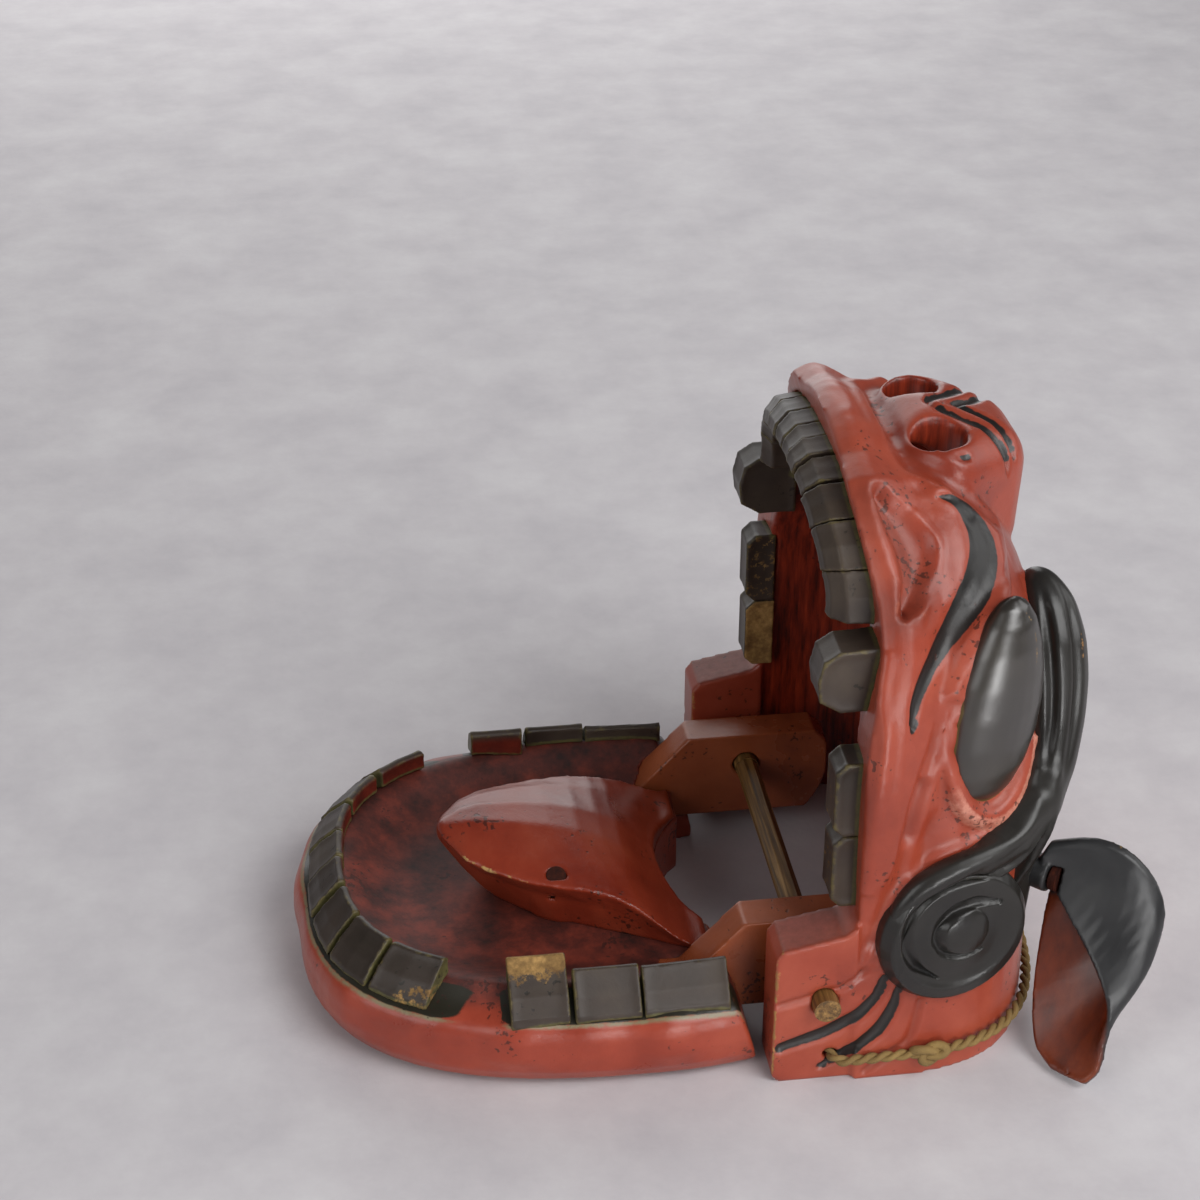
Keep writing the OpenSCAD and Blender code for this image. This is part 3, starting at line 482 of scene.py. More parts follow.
# A roll of the cheek lies over the front of each eye, and a flat lid under it.
fold = [(71.5, -57, 194), (67.5, -68, 194.8), (63.5, -73.3, 192.3), (58.8, -79.3, 188.2),
        (54, -82.2, 183.2), (50.4, -85.4, 176.8), (47.2, -88, 170), (44, -91, 163.5),
        (42.2, -93.2, 156.5), (40.8, -95.2, 149.5), (39, -98, 140)]
fold_r = [3, 5, 6.3, 6.6, 6.6, 6.6, 6.4, 6, 5.4, 4.4, 2.5]
lid = [(40.8, -95.2, 149.5), (43.5, -97, 140), (46.5, -97.5, 130), (50, -97.3, 121), (55, -96.2, 113.5),
       (62, -94, 109.5), (69, -90.5, 111.5), (75, -86, 118), (79, -82, 127), (83, -78, 136)]
lid_r = [2, 2.8, 3.4, 4, 4.5, 4.8, 4.6, 4.2, 3.4, 2]
for hand in (-1, 1):
    shape.from_mesh(lock(fold, fold_r, hand))
    shape.from_mesh(lock(lid, lid_r, hand))
base = BVHTree.FromBMesh(shape)
for name in inlays:
    shape.from_mesh(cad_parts[name].data)
bmesh.ops.remove_doubles(shape, verts=shape.verts, dist=1e-6)
head = carving("carved_head", shape, 0.00125)
points, edges = places(head), edges_of(head)

# The eyes, brows and curls are worked as pieces of their own, so the wood below them is cut back.
inlaid = solid_of(*inlays)
cover = BVHTree.FromBMesh(inlaid)
inlaid.free()
to_base = np.array([base.find_nearest(v.co)[3] for v in head.data.vertices]) * 1000
to_cover = np.array([cover.find_nearest(v.co)[3] for v in head.data.vertices]) * 1000
on_block = step(-points[:, 0], -14, -8) * step(-points[:, 2], -80, -70)
points = scraped(points, edges, 14, 0.75 * on_block)
set_places(head, points)
on_inlay = step(to_base - to_cover, 0, 0.5)
back = 0.9 * on_inlay + 4.5 * step(to_base, 1.2, 3.5) * on_inlay
points -= soften(back, edges, 1)[:, None] * facing(head)
set_places(head, points)


eye_mid, eye_high, eye_wide = (64.5, -85.5, 156), 44, 20.5


def eye_ring(points):
    # 1 on the outline of the eye, and the way round it: 0 towards the mouth, 90 up, -90 down.
    off = points - eye_mid
    up = off[:, 2] / eye_high
    wide = eye_wide * (1 - 0.16 * np.clip(up, -1, 1))
    along = (0.866 * off[:, 0] + 0.5 * off[:, 1] - 0.1 * off[:, 2]) / wide
    return np.hypot(along, up), np.degrees(np.arctan2(up, -along))


# Carved lines on the near side, in millimetres from the axle; the far side is alike. Each cut and ridge
# has its line, its half widths and its depth or height.
flame = [(47, -51, 226), (51.3, -51.2, 225), (56, -53, 222), (59.7, -56, 218), (61.6, -60, 213.7),
         (61.8, -65, 209.2), (59.8, -70.4, 204.8), (56.6, -75.4, 200.2), (51.2, -80, 194.7), (45.4, -84, 188),
         (40, -88.5, 182.8), (35.4, -93.7, 177.7), (31.3, -98, 172), (28.8, -101, 165.6),
         (28.5, -102.5, 158.4)]
flame_w = [1, 3, 5, 6.2, 6.8, 6.8, 6.4, 5.8, 5, 4.5, 4.1, 3.7, 3.3, 2.7, 1.4]
barb_a = [(23, -107, 47), (21, -108, 39), (13, -108, 30), (1, -108, 23), (-17, -108, 17)]
barb_b = [(29, -107, 41), (27, -108, 32), (22, -109, 23), (13, -109, 15), (6, -108, 10), (-1, -108, 6)]
barb_w = [1.5, 2.6, 3, 2.8, 2.2, 1]
scoop = [(23, -56, 232), (25.5, -60, 228.7), (28.7, -63.3, 224), (31, -66.7, 219.5), (32.8, -70, 215),
         (33.4, -75, 210), (32.5, -79.7, 205.7), (29.3, -84.4, 202.4), (26, -88, 198.4)]
wrinkle_a = [(54, 0, 240.8), (56.5, -4, 240.8), (61, -7.4, 240.1), (67, -12.4, 238.6),
             (72.1, -17.4, 236.9), (76.5, -21.6, 233.2), (79.3, -24.3, 228), (80.5, -26, 221)]
wrinkle_b = [(64, 0, 239.3), (68, -2.6, 238.5), (72.4, -5.4, 237.6), (76.5, -9.6, 236.5),
             (80.2, -14.8, 234.1), (82.2, -19, 230.7), (83.5, -22, 225)]
nick = [(59.2, -36, 234.7), (61, -36, 234)]
nose_foot = [(36, 0, 234), (37, -14, 233), (39, -28, 234), (45, -38, 232), (53, -43, 228), (62, -46, 221),
             (70, -48, 213)]
cuts = [
    (flame, [1.5 * w for w in flame_w], 1.8),
    (barb_a, [1.6 * w for w in barb_w[:5]], 1.8),
    (barb_b, [1.6 * w for w in barb_w], 1.8),
    ([(38, -107, 34), (36, -108, 24), (34, -109, 16), (22, -109, 8), (16, -109, 3)], [2.6], 1.5),
    ([(-19, -108, 38), (-7, -108, 41), (6, -108, 44), (17, -107, 52), (20, -110, 64)], [2.4], 1.4),
    (scoop, [5, 8.5, 11.5, 12.5, 13, 12, 10, 7, 3], 6),
    ([(44, -95, 162), (41, -99, 151), (35, -102, 137), (32, -104, 126), (31, -105, 110)], [6], 2.2),
    ([(34, -103, 131), (31, -105, 120), (28, -105, 100), (22, -108, 76), (19, -108, 64)], [6], 2),
    (nose_foot, [5], 3),
    (wrinkle_a, [1.6, 3.4, 4, 4, 3.6, 2.8, 1.2], 2), (wrinkle_b, [1.6, 3.4, 3.8, 3.8, 3, 1.2], 2),
    (nick, [2.2], 3)]
ridges = [
    ([(19, -94, 184), (16, -99, 170), (18, -105, 157), (16, -108, 141), (14, -109, 120), (14, -106, 89)],
     [4.5], 1.3),
    ([(29, 0, 240), (30, -14, 239), (32, -28, 238), (38, -42, 235), (47, -50, 230), (58, -54, 221)],
     [6], 1.8),
    ([(38, -60, 226), (43, -66, 216), (42, -72, 209), (37, -80, 203), (32, -88, 196)], [4], 1.4),
    ([(61, -97, 104), (39, -100, 96), (27, -106, 84), (20, -109, 68), (18, -106, 54)], [5], 1.6)]
skin = skin_of(head)
near = near_side(points)
lift = np.zeros(len(points))
for line, widths, depth in cuts:
    lift -= depth * step(stroke(near, laid_on(skin, line), widths), 0, 0.85)
for line, widths, height in ridges:
    lift += height * step(stroke(near, laid_on(skin, line), widths), 0, 1)
# No line runs into a nostril. The rims of the nostrils and the foot of the nose are sanded round.
nostril_x, nostril_y, nostril_r = 53, 22, 12
bore = np.hypot(near[:, 0] - nostril_x, near[:, 1] + nostril_y)
rim = np.clip(1 - np.abs(bore - nostril_r) / 5, 0, 1) * step(points[:, 2], 222, 228)
lift *= step(bore, nostril_r + 0.5, nostril_r + 3)
points = points + lift[:, None] * facing(head)
foot = step(stroke(near, laid_on(skin, nose_foot), [9]), 0.1, 0.6)
sanded = np.maximum(step(rim, 0, 0.6), 0.8 * foot)
for _ in range(26):
    points = points + 0.5 * sanded[:, None] * (around(points, edges) - points)
set_places(head, scraped(points, edges, 1))
thinned(head, 196000)

points, edges = places(head), edges_of(head)
near, skin = near_side(points), skin_of(head)
black = np.zeros(len(points))
# The flame, the barbs and the nick are painted black. The black in the nose wrinkles is partly paint and
# partly painted shade in the folds.
for line, widths in ((flame, flame_w), (barb_a, barb_w[:5]), (barb_b, barb_w), (nick, [1.4]),
                     (wrinkle_a, [0.8, 2.2, 2.4, 2.4, 2, 0.6]), (wrinkle_b, [0.8, 2.2, 2.4, 2, 0.6])):
    black = np.maximum(black, brushed(near, laid_on(skin, line), widths))
# The shell is a rounded box that leans in as it rises and closes in a dome. What lies more than half a
# wall in from its outside has the dark lining.
shell_half, shell_lean, shell_deep, shell_from = 111, 0.085, 85, 12
dome_from, crown_z, half_wall = 120, 241, 9
side_dome, back_dome = 2.4, 2.6
x, y, z = points.T
normal = facing(head)
rising = np.clip((z - dome_from) / (crown_z - half_wall - dome_from), 0, 1)
half = (shell_half - shell_lean * z - half_wall) * np.sqrt(1 - rising ** side_dome)
deep = (shell_deep - half_wall) * np.sqrt(1 - rising ** back_dome)
level = ((np.clip(x - shell_from, 0, None) / np.maximum(deep, 1)) ** rim_round
         + (np.abs(y) / np.maximum(half, 1)) ** rim_round)
inside = step(-level, -1.05, -0.95) * step(x, 11, 14) * step(-z, -235, -231)
bore = np.hypot(x - nostril_x, np.abs(y) - nostril_y)
turned_in = (nostril_x - x) * normal[:, 0] + (nostril_y * np.sign(y) - y) * normal[:, 1]
nostril = step(-bore, -nostril_r - 0.5, 1 - nostril_r) * step(turned_in / np.maximum(bore, 1), 0.2, 0.6)
paint(head, "black", black * (1 - inside) * step(bore, nostril_r + 1, nostril_r + 2.5))
paint(head, "inside", np.maximum(inside, 0.85 * nostril))
# The lid's edge below the eye has faded.
ring, way = eye_ring(near)
faded = 0.9 * step(-ring, -1.2, -1.12) * step(ring, 0.98, 1.02) * step(-way, 20, 50)
paint(head, "pale", faded * step(-near[:, 1], 60, 70))
# The corners of the cheek blocks are rubbed bare. The scoop is darkened by dirt and painted shade, and
# dirt lies on top of the blocks.
corners = ([(-20, -108, 62), (-20, -108, 4)], [(-18, -108, 64), (-20, -88, 64)],
           [(-20, -87, 62), (-20, -87, 20)])
paint(head, "bare", 0.62 * np.maximum.reduce([stroke(near, line, [4.5]) for line in corners]))
block_top = step(-x, -10, -6) * step(normal[:, 2], 0.5, 0.9) * step(z, 50, 58) * step(-z, -76, -72)
wear_and_light_maps(head, 2.6, grime_and_shade=0.5 * stroke(near, laid_on(skin, scoop), [10]) + 0.55 * block_top)
head.data.materials.append(vermilion)
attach(head, "head")
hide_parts("head_shell", "left_cheek_block", "right_cheek_block", "nose")


# Eyes. Two bulging ovals, carved smooth and lacquered black-brown, each with a thin olive-gold line
# painted where it meets the lids.
gloss_black = lacquer("gloss_black_lacquer", ("#1a1611", "#221d16", "#2c261c"), "#1d1a12", "#3a3522",
                      "#8a6a38", (0.28, 0.36), second="#4f4a22", relief=0.05, bend=1.9, chips_from=0.42)
eye_crack = [(68.5, -83.5, 193.5), (71, -84.2, 189), (72.5, -85, 185), (72.8, -86, 180), (73, -87, 174)]
for side_name in ("left", "right"):
    eye = carving(side_name + "_carved_eye", solid_of(side_name + "_eye"), 0.001)
    set_places(eye, scraped(places(eye), edges_of(eye), 60))
    rim = solid_of("head_shell", side_name + "_brow")
    socket = BVHTree.FromBMesh(rim)
    rim.free()
    gap = np.array([(socket.find_nearest(v.co, 0.01)[3] or 0.01) for v in eye.data.vertices]) * 1000
    paint(eye, "black", 0.5 + 0.5 * np.clip((1.5 - gap) / 2, -1, 1))
    cracked = stroke(near_side(places(eye)), laid_on(skin_of(eye), eye_crack), [1.1])
    paint(eye, "bare", 0.62 * cracked * (side_name == "left"))
    eye.data.materials.append(gloss_black)
    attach(eye, "head")
    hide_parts(side_name + "_eye")


# Brows. Heavy crests of hair over the eyes, cut into long strands that part below and run down to the
# cheek curls, lacquered black and rubbed to olive and bare wood on the crowns.
black_hair = lacquer("black_hair_lacquer", ("#191716", "#201e1b", "#292724"), "#0d0c0b", "#34322a",
                     "#a87a45", (0.26, 0.38), relief=0.08, chips_from=0.42)
# The crest runs round and down the shell: degrees round from the back, and height.
crest_way = ((-26, 185), (-27, 182), (-29, 175), (-31, 164), (-32, 150), (-34, 134), (-38, 120),
             (-44, 109), (-52, 101), (-60, 96), (-65, 92))
brow_run = []
for angle, z in crest_way:
    c, s = math.cos(math.radians(angle)), math.sin(math.radians(angle))
    r = (abs(c) ** rim_round + abs(s) ** rim_round) ** (-1 / rim_round)
    closing = max(0, (z - dome_from) / (crown_z - dome_from))
    brow_run.append((shell_from + shell_deep * math.sqrt(1 - closing ** back_dome) * c * r,
                     (shell_half - shell_lean * z) * math.sqrt(1 - closing ** side_dome) * s * r, z))
brow_run = drawn_out(brow_run, 60)
brow_ahead = np.gradient(brow_run, axis=0)
locks = [
    ([(83, -92, 117), (80, -97, 109), (72, -101, 104), (62, -103, 100), (53, -104, 97), (43, -105, 93),
      (34, -106, 88), (27, -107, 79), (24, -108, 67)], [1.4, 2.4, 3.4, 4.4, 5.2, 5.6, 5.4, 4.6, 3]),
    ([(85, -94, 106), (81, -97, 100), (75, -99, 94), (68, -100, 89), (58, -105, 87), (47, -108, 86)],
     [1.2, 2.2, 2.6, 2.6, 2.2, 1.2]),
    ([(91, -85, 124), (89, -90, 112), (87, -91, 101), (85, -89, 91), (82, -88, 81), (77, -88, 71)],
     [3.6, 3.8, 3.4, 3, 2.4, 1]),
    ([(87, -82, 126), (85, -82, 114), (82, -81, 100), (80.5, -81, 85), (80, -81.5, 70), (80, -82, 56),
      (81, -83, 44)], [6, 7.2, 7.4, 7.4, 7.2, 6, 3])]
for side_name, hand in (("left", 1), ("right", -1)):
    shape = solid_of(side_name + "_brow")
    for line, radii in locks:
        shape.from_mesh(lock(line, radii, -hand))
    brow = carving(side_name + "_carved_brow", shape, 0.0009)
    points, edges = places(brow), edges_of(brow)
    points = scraped(points, edges, 60, back=0.507)
    # The crest is rounded over, and filled out again by what that takes off.
    crest = step(points[:, 2], 112, 134)[:, None]
    for _ in range(100):
        points = points + 0.5 * crest * (around(points, edges) - points)
    set_places(brow, points)
    points = points + 1.1 * crest * facing(brow)
    parting = step(points[:, 2], 104, 114) * step(-points[:, 2], -142, -130)
    for _ in range(30):
        points = points + 0.5 * parting[:, None] * (around(points, edges) - points)
    set_places(brow, points)
    near = near_side(points)
    # The strands are grooves that follow the crest, each at its own place round it and drifting slowly.
    _, spot = reach(near, brow_run)
    share = np.arange(len(brow_run))
    centre = np.stack([np.interp(spot, share, brow_run[:, k]) for k in range(3)], 1)
    ahead = np.stack([np.interp(spot, share, brow_ahead[:, k]) for k in range(3)], 1)
    ahead /= np.linalg.norm(ahead, axis=1, keepdims=True)
    out = centre * (1, 1, 0) - (32, 0, 0)
    out -= (out * ahead).sum(1)[:, None] * ahead
    out /= np.linalg.norm(out, axis=1, keepdims=True)
    across = np.cross(ahead, out)
    turn = np.degrees(np.arctan2(((near - centre) * across).sum(1), ((near - centre) * out).sum(1)))
    length = spot / share[-1]
    on_crest = step(length, 0.02, 0.2) * step(-length, -0.72, -0.35)
    lift = np.zeros(len(points))
    for place, drift in ((-70, 20), (-30, 14), (12, 6), (52, -8)):
        lift -= 1.9 * on_crest * step(12 - np.abs(turn - place - drift * length), 0, 12)
    points = scraped(points + lift[:, None] * facing(brow), edges, 1)
    set_places(brow, points)
    near = near_side(points)
    paint(brow, "bare", 0.6 * np.maximum(stroke(near, [(103, -63, 172), (103, -67, 162)], [2.5]),
                                         stroke(near, [(90, -95, 113), (88, -95, 103)], [3])))
    wear_and_light_maps(brow, 2.4)
    brow.data.materials.append(black_hair)
    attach(brow, "head")
    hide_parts(side_name + "_brow")


# Cheek curls. A round lock of the mane on each cheek, carved as a spiral that winds in to a low boss.
curl_x, curl_z, boss_r = 52, 68, 11
outer_turn = [(80, 104), (72, 96), (64, 92), (52, 92), (41, 90), (33, 84), (29, 75), (29, 64), (34, 54),
              (43, 47)]
groove_w = [1.4, 3, 3.2, 3.2, 3, 2.6, 0.5]
inner_turn = [(67, 78), (57, 81), (48, 79), (42, 74), (41, 66), (45, 59), (53, 56), (61, 58)]
for side_name, hand in (("left", -1), ("right", 1)):
    curl = carving(side_name + "_carved_curl", solid_of(side_name + "_cheek_curl"), 0.0006)
    points, edges = places(curl), edges_of(curl)
    points = scraped(points, edges, 12)
    set_places(curl, points)
    normal = facing(curl)
    flat = points * (1, 0, 1)
    radius = np.hypot(points[:, 0] - curl_x, points[:, 2] - curl_z)
    face = step(hand * normal[:, 1], 0.3, 0.7)
    level = face * step(-radius, -25, -21)
    for _ in range(320):
        points = points + 0.5 * level[:, None] * (around(points, edges) - points)
    lift = 2.2 * np.sqrt(np.clip(1 - (radius / boss_r) ** 2, 0, 1))
    for line, depth in ((outer_turn, 2.4), (inner_turn, 2)):
        line = drawn_out([(x, 0, z) for x, z in line], 90)
        lift -= depth * step(stroke(flat, line, groove_w), 0, 0.9)
    points = points + (face * lift)[:, None] * normal
    set_places(curl, scraped(points, edges, 1))
    wear_and_light_maps(curl, 2.4)
    curl.data.materials.append(black_hair)
    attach(curl, "head")
    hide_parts(side_name + "_cheek_curl")


# Teeth. Blocks of wood let into the lips and the jaw rim, lacquered black-grey, their faces slightly
# dished and their edges rubbed to olive, gold and bare wood by years of clapping.
def apart(shape, space):
    # Each block goes one step higher than the last, so that neighbours are worked on their own.
    shape.verts.index_update()
    block_of = [-1] * len(shape.verts)
    count = 0
    for start in shape.verts:
        if block_of[start.index] >= 0:
            continue
        waiting, block = [start], []
        block_of[start.index] = count
        while waiting:
            vert = waiting.pop()
            block.append(vert)
            for edge in vert.link_edges:
                other = edge.other_vert(vert)
                if block_of[other.index] < 0:
                    block_of[other.index] = count
                    waiting.append(other)
        bmesh.ops.translate(shape, verts=block, vec=(0, 0, space * count))
        count += 1
    return shape


tooth_black = lacquer("tooth_black_lacquer", ("#2c251e", "#3a3029", "#493e33"), "#17150e", "#5f5430",
                      "#86673a", (0.4, 0.5), pale="#5a5632", lining=("#42140d", "#5b1d12", "#74291a"),
                      lining_way=(90, 90, 90), relief=0.1, bend=1.42, chips_from=0.4)
upper_teeth = ("upper_front_teeth", "left_upper_fang", "right_upper_fang", "left_upper_molars",
               "right_upper_molars")
lower_teeth = ("lower_front_teeth", "left_lower_teeth", "right_lower_teeth")
tooth_nodes = [(node, "head", "head_shell") for node in upper_teeth]
tooth_nodes += [(node, "jaw", "lower_jaw") for node in lower_teeth]
# The middle of the mouth, which the lower teeth stand round.
mouth_mid = -80
tooth_voxel = 0.0007
space = 700 * tooth_voxel
for node, body, base in tooth_nodes:
    teeth = carving("carved_" + node, apart(solid_of(node), space), tooth_voxel)
    points, edges = places(teeth), edges_of(teeth)
    block = np.floor(points[:, 2] / 1000 / space + 0.1).astype(int)
    points[:, 2] -= 1000 * space * block
    # No two teeth stand quite alike.
    points += np.random.default_rng(5).uniform(-0.55, 0.55, (block.max() + 1, 3))[block]
    points = scraped(points, edges, 9)
    set_places(teeth, points)
    normal = facing(teeth)
    curve = np.clip(soften(((points - around(points, edges)) * normal).sum(1), edges, 26) * 26, 0, 1)
    points = points - 0.45 * (1 - curve)[:, None] * normal
    set_places(teeth, points)
    seat = solid_of(base)
    ground = BVHTree.FromBMesh(seat)
    seat.free()
    gap = np.array([(ground.find_nearest(v.co, 0.006)[3] or 0.006) for v in teeth.data.vertices]) * 1000
    x, y, z = points.T
    foot = step(-gap, -2.2, -0.8)
    if body == "jaw":
        from_mid = np.maximum(np.hypot(x - mouth_mid, y), 1)
        inward = (normal * np.stack([mouth_mid - x, -y, 0 * z], 1)).sum(1) / from_mid
        red = step(inward, 0.4, 0.7) * step(-z, -50, -45)
        paint(teeth, "inside", red * (step(-x, 96.5, 97.5) if node == "right_lower_teeth" else 1))
        on_side = np.abs(normal[:, 0])
        if "front" in node:
            on_side = np.abs(normal[:, 1] * (x - mouth_mid) - normal[:, 0] * y) / from_mid
        foot = np.maximum(foot, step(on_side, 0.6, 0.85))
    paint(teeth, "pale", foot)
    bare = 0.0 * x
    if node == "left_lower_teeth":
        bare = 0.5 * step(-x, 97, 100) * step(z, 40, 46) + 0.3 * step(z, 46, 49)
    if node == "lower_front_teeth":
        bare = 0.5 * step(-y, 70, 78) * step(-z, -42, -38) + 0.25 * step(z, 46, 49)
    if node == "right_upper_molars":
        bare = step(-normal[:, 1], 0.4, 0.8) * (0.44 + 0.3 * step(-z, -109, -107))
    if node == "left_upper_molars":
        bare = 0.4 * step(-normal[:, 0], 0.5, 0.9)
    paint(teeth, "bare", bare)
    # The hollows on and between the teeth are darkened with the dust colour: dirt and painted shade.
    wear_and_light_maps(teeth, 4, 2)
    teeth.data.materials.append(tooth_black)
    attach(teeth, body)
    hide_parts(node)


# Lower jaw. A dished board with a bulging lip, lacquered vermilion outside; its hollow floor is dark
# with dust. Two stout arms let into its back swing on the axle.
jaw_turn, jaw_long, jaw_half, jaw_round = -60, 142, 105, 2.7
jaw_straight, jaw_draw = 38, 4


def lip_inset(x, y):
    # How far each place lies in from the outside of the lip, which is round in front of jaw_turn.
    out_x, out_y = np.maximum(jaw_turn - x, 0) / jaw_long, np.abs(y) / jaw_half
    round_r = np.maximum((out_x ** jaw_round + out_y ** jaw_round) ** (1 / jaw_round), 0.05)
    straight = jaw_half - np.abs(y) - jaw_draw * (np.maximum(x - jaw_turn, 0) / jaw_straight) ** 2
    return np.where(x < jaw_turn, np.hypot(jaw_turn - x, y) * (1 / round_r - 1), straight)


# The pale #ad5f45 on its edges is partly rubbed priming and partly painted highlight. #331812 marks the chips
# and darkens the hollows with dirt and painted shade.
jaw_red = lacquer("jaw_lacquer", ("#812f1f", "#983d29", "#a84c35"), "#331812", "#ad5f45", "#a87a45",
                  (0.26, 0.4), second="#232016", pale="#7d775a", lining=("#2c130f", "#58231a", "#803424"),
                  lining_way=(60, 60, 60), chips_from=0.373, dust_veil=0.8)
jaw = carving("carved_jaw", solid_of("lower_jaw"), 0.0011)
points, edges = places(jaw), edges_of(jaw)
points = scraped(points, edges, 14)
set_places(jaw, points)
x, y, z = points.T
floor = soften(step(facing(jaw)[:, 2], 0.5, 0.8) * step(lip_inset(x, y), 20, 26) * step(-x, 46, 56), edges, 4)
for _ in range(160):
    points = points + 0.5 * floor[:, None] * (around(points, edges) - points)
set_places(jaw, points)
x, y, z = points.T
normal = facing(jaw)
# The outside of the lip swells and sinks a little along its way.
turn = np.arctan2(y, jaw_turn - x)
outward = (normal * np.stack([x - jaw_turn, y, 0 * z], 1)).sum(1) / np.maximum(np.hypot(x - jaw_turn, y), 1)
outside = step(outward, 0.1, 0.6)
wave = 0.8 * np.sin(11 * turn + 0.6) + 0.5 * np.sin(23 * turn)
points = points + (wave * outside * step(z, 8, 18) * step(-x, 26, 40))[:, None] * normal
set_places(jaw, points)
# The teeth stand in black beds with a pale line outside them.
inset = lip_inset(x, y)
upward = step(normal[:, 2], 0.2, 0.5)
way = np.degrees(np.arctan2(np.abs(y) / jaw_half, np.maximum(jaw_turn - x, 0) / jaw_long))
rows = np.maximum(step(-way, -60, -52), step(x, -128, -121))
band = 0.5 + 0.5 * np.clip(np.minimum(inset - 4.5, 19 - inset) / 2, -1, 1)
paint(jaw, "inside", soften(upward * step(inset, 8, 18), edges, 3))
paint(jaw, "black", upward * rows * band)
paint(jaw, "pale", 1.3 * rows * step(normal[:, 2], 0, 0.3) * np.clip(1 - np.abs(inset - 4) / 1.6, 0, 1))
wear_and_light_maps(jaw, 2.6)
jaw.data.materials.append(jaw_red)
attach(jaw, "jaw")
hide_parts("lower_jaw")

# The lighter #9a5832 on its edges is partly rubbed priming and partly painted highlight. #2c140c marks the
# chips and darkens the hollows with dirt and painted shade.
arm_brown = lacquer("arm_brown_lacquer", ("#773820", "#924a2a", "#a65834"), "#2c140c", "#9a5832",
                    "#a87a45", (0.24, 0.34))
for side_name in ("left", "right"):
    arm = carving(side_name + "_carved_arm", solid_of(side_name + "_jaw_arm"), 0.001)
    points, edges = places(arm), edges_of(arm)
    set_places(arm, scraped(points, edges, 16))
    wear_and_light_maps(arm, 2.6)
    arm.data.materials.append(arm_brown)
    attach(arm, "jaw")
    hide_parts(side_name + "_jaw_arm")


# Tongue. A broad ridged leaf of wood on a coved stem, carved apart from the jaw and pinned to its
# floor by one dark peg. Its near edge is rubbed to the wood.
# The lighter #8f4a33 on its edges is partly rubbed priming and partly painted highlight. #2c120b marks the
# chips and darkens the hollows with dirt and painted shade.
tongue_red = lacquer("tongue_lacquer", ("#6c2112", "#832e19", "#923d25"), "#2c120b", "#8f4a33",
                     "#a8834f", (0.26, 0.38))
tongue = carving("carved_tongue", solid_of("tongue"), 0.0009)
points, edges = places(tongue), edges_of(tongue)
points = scraped(points, edges, 150)
set_places(tongue, points)
# The stem is left a little thicker round the peg.
peg_low, peg_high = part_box("tongue_peg")
peg_x, peg_y = 500 * (peg_low.x + peg_high.x) - 1000 * hinge_x, 500 * (peg_low.y + peg_high.y)
normal = facing(tongue)
to_peg = np.hypot(points[:, 0] - peg_x, points[:, 1] - peg_y)
round_peg = step(-to_peg, -11, -5) * step(-normal[:, 2], -0.5, 0.1)
set_places(tongue, points + 1.6 * soften(round_peg, edges, 4)[:, None] * normal)
points = places(tongue)
rubbed_edge = [(-136, -16, 57), (-128, -25, 56), (-118, -32, 54.5), (-108, -36, 53)]
paint(tongue, "bare", 0.62 * stroke(points, rubbed_edge, [2, 3.5, 4, 3]))
wear_and_light_maps(tongue, 2.6)
tongue.data.materials.append(tongue_red)
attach(tongue, "jaw")
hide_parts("tongue")


# Axle and pegs. Split and whittled hardwood, never lacquered, polished brown by hands: the long axle
# that the jaw swings on, the two ear pegs, and the short peg through the tongue.
def bare_wood(name, shades, grain_way, rough, shine=0.5):
    finish, tree = new_finish(name)
    spot = add(tree, "TexCoord").outputs["Object"]
    way = add(tree, "Mapping", {"Vector": spot, "Scale": grain_way})
    grain = add(tree, "TexNoise", {"Vector": way.outputs["Vector"], "Scale": 1, "Detail": 6,
                                   "Roughness": 0.65})
    shade = add(tree, "ValToRGB", {"Fac": grain.outputs["Fac"]},
                stops=[(0.3, shades[0]), (0.5, shades[1]), (0.7, shades[2])])
    ribs = add(tree, "Bump", {"Height": grain.outputs["Fac"], "Strength": 0.3, "Distance": 0.0006})
    skin = add(tree, "BsdfPrincipled", {"Base Color": shade.outputs["Color"], "Roughness": rough,
                                        "Specular IOR Level": shine, "Normal": ribs.outputs["Normal"]})
    add(tree, "OutputMaterial", {"Surface": skin.outputs["BSDF"]})
    return finish


axle_wood = bare_wood("handled_axle_wood", ("#3b2a16", "#6e5029", "#a17c46"), (700, 22, 700), 0.42)
peg_wood = bare_wood("dark_peg_wood", ("#230e09", "#31130b", "#431c0f"), (500, 500, 40), 0.7, 0.15)
for node, finish in (("axle_rod", axle_wood), ("left_ear_peg", peg_wood), ("right_ear_peg", peg_wood),
                     ("tongue_peg", peg_wood)):
    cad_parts[node].data.materials.clear()
    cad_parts[node].data.materials.append(finish)


# Ears. Thin rolled leaves of wood that hang loose on their pegs and flap as the head is shaken,
# satin black outside, brown-red inside, with the lacquer rubbed to gold along the rim.
ear_black = lacquer("ear_lacquer", ("#1d1d1e", "#262627", "#313130"), "#141310", "#7d602f", "#a8834a",
                    (0.3, 0.42), lining=("#4f1c08", "#65260b", "#76310f"), lining_way=(90, 90, 30),
                    relief=0.05, chips_from=0.42)
ear_root = np.array([90.3401, -83.3616, 74])
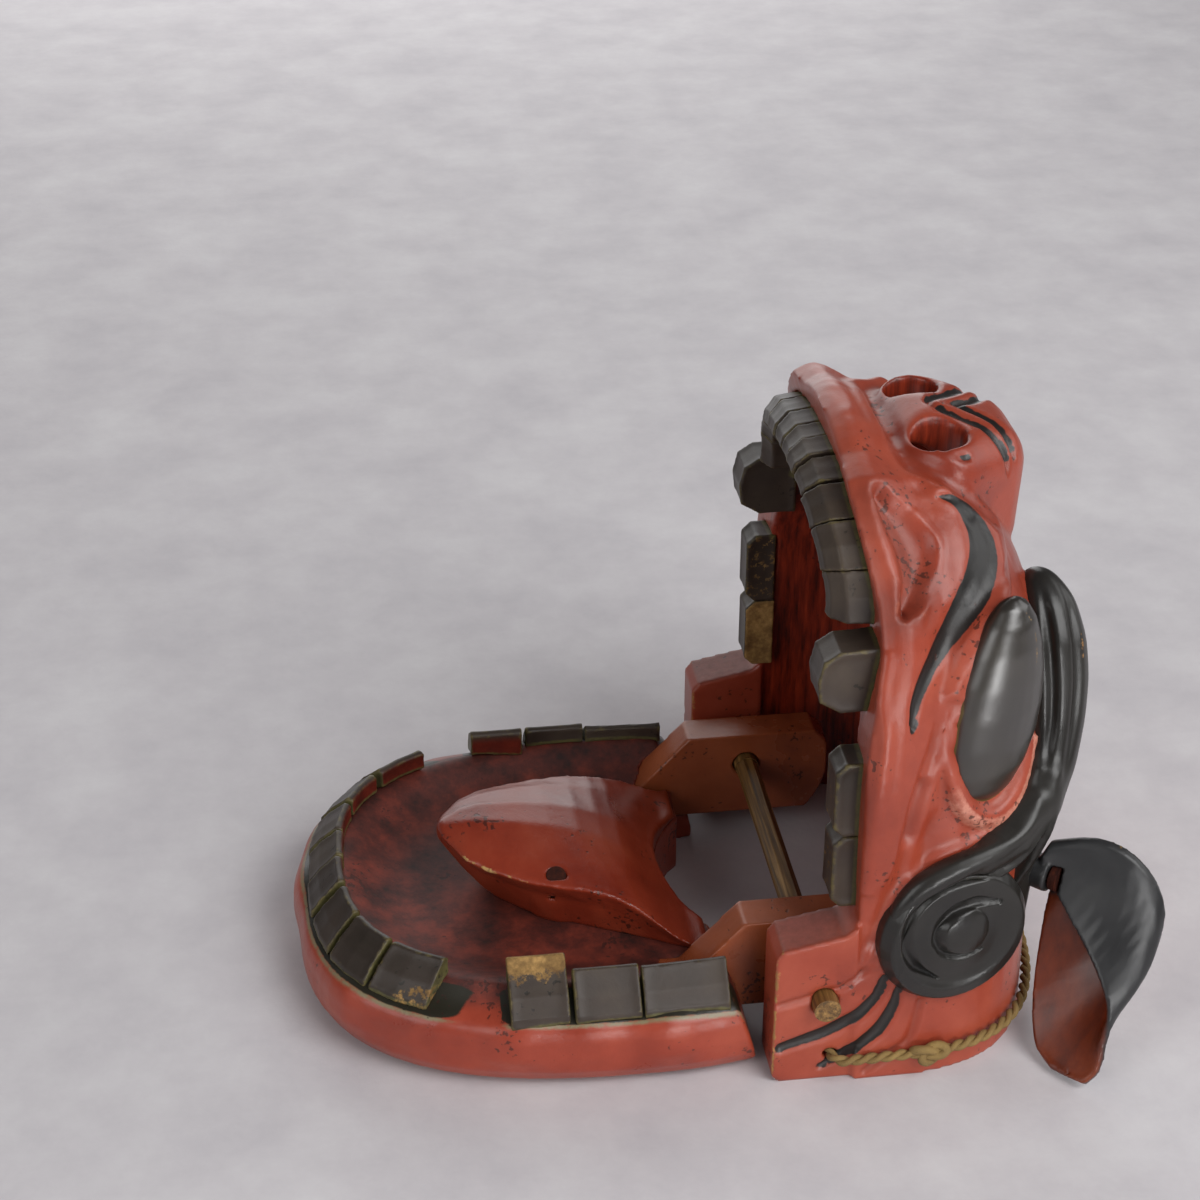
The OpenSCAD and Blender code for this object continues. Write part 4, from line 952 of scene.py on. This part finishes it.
# Rows down the leaf: its near rim, its back and its far rim, from the root.
leaf_rows = np.array([
    [[-2, -2, 8], [3, 0, 13], [6, 3, 8]], [[2, -5, -1], [19, -6, 17], [7, 4, -4]],
    [[9, -16, -14], [32, -14, 13], [3, -1, -18]], [[14, -27, -24], [41, -20, -1], [1, -4, -28]],
    [[17, -36, -33], [39, -24, -17], [-1, -8, -40]], [[18, -40, -41], [30, -29, -32], [-2, -11, -51]],
    [[17, -43, -52], [13, -28, -54], [-3, -17, -61]], [[15, -46, -64], [8, -36, -66], [-3, -24, -68]],
    [[10, -46, -70], [6, -41, -71], [0, -34, -71]]], float)
for side_name, hand in (("left", 1), ("right", -1)):
    sheet = bmesh.new()
    bmesh.ops.create_grid(sheet, x_segments=64, y_segments=32, size=1)
    for vert in sheet.verts:
        s, t = (vert.co.x + 1) / 2 * (len(leaf_rows) - 1), vert.co.y
        k = min(int(s), len(leaf_rows) - 2)
        f = s - k
        a, b, c, d = (leaf_rows[min(max(k + i, 0), len(leaf_rows) - 1)] for i in (-1, 0, 1, 2))
        near_rim, back, far_rim = (b + f * (c - a) / 2 + f * f * (a - 2.5 * b + 2 * c - d / 2)
                                   + f ** 3 * ((d - a) / 2 + 1.5 * (b - c)))
        spot = ear_root + back + t * (far_rim - near_rim) / 2 + t * t * ((far_rim + near_rim) / 2 - back)
        vert.co = Vector((spot[0] + hinge_x * 1000, hand * spot[1], spot[2])) / 1000
    sheet.normal_update()
    leaf = BVHTree.FromBMesh(sheet)
    sheet.free()
    ear = carving(side_name + "_carved_ear", solid_of(side_name + "_ear"), 0.0009)
    points, edges = places(ear), edges_of(ear)
    set_places(ear, scraped(points, edges, 12))
    found = [leaf.find_nearest(v.co) for v in ear.data.vertices]
    off = np.array([v.co - hit[0] for v, hit in zip(ear.data.vertices, found)]) * 1000
    way = np.array([hit[1] for hit in found])
    across = (off * way).sum(1)
    root_gap = np.linalg.norm(near_side(places(ear)) - ear_root, axis=1)
    beyond = np.linalg.norm(off - across[:, None] * way, axis=1)
    paint(ear, "inside", soften(step(-hand * across, -0.3, 0.3) * step(root_gap, 11, 13), edges, 2))
    paint(ear, "edge", 0.75 * step(beyond, 0.15, 0.7) * step(-beyond, -3, -2) * step(root_gap, 14, 20))
    ear.data.materials.append(ear_black)
    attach(ear, side_name + "_ear_body")
    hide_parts(side_name + "_ear")
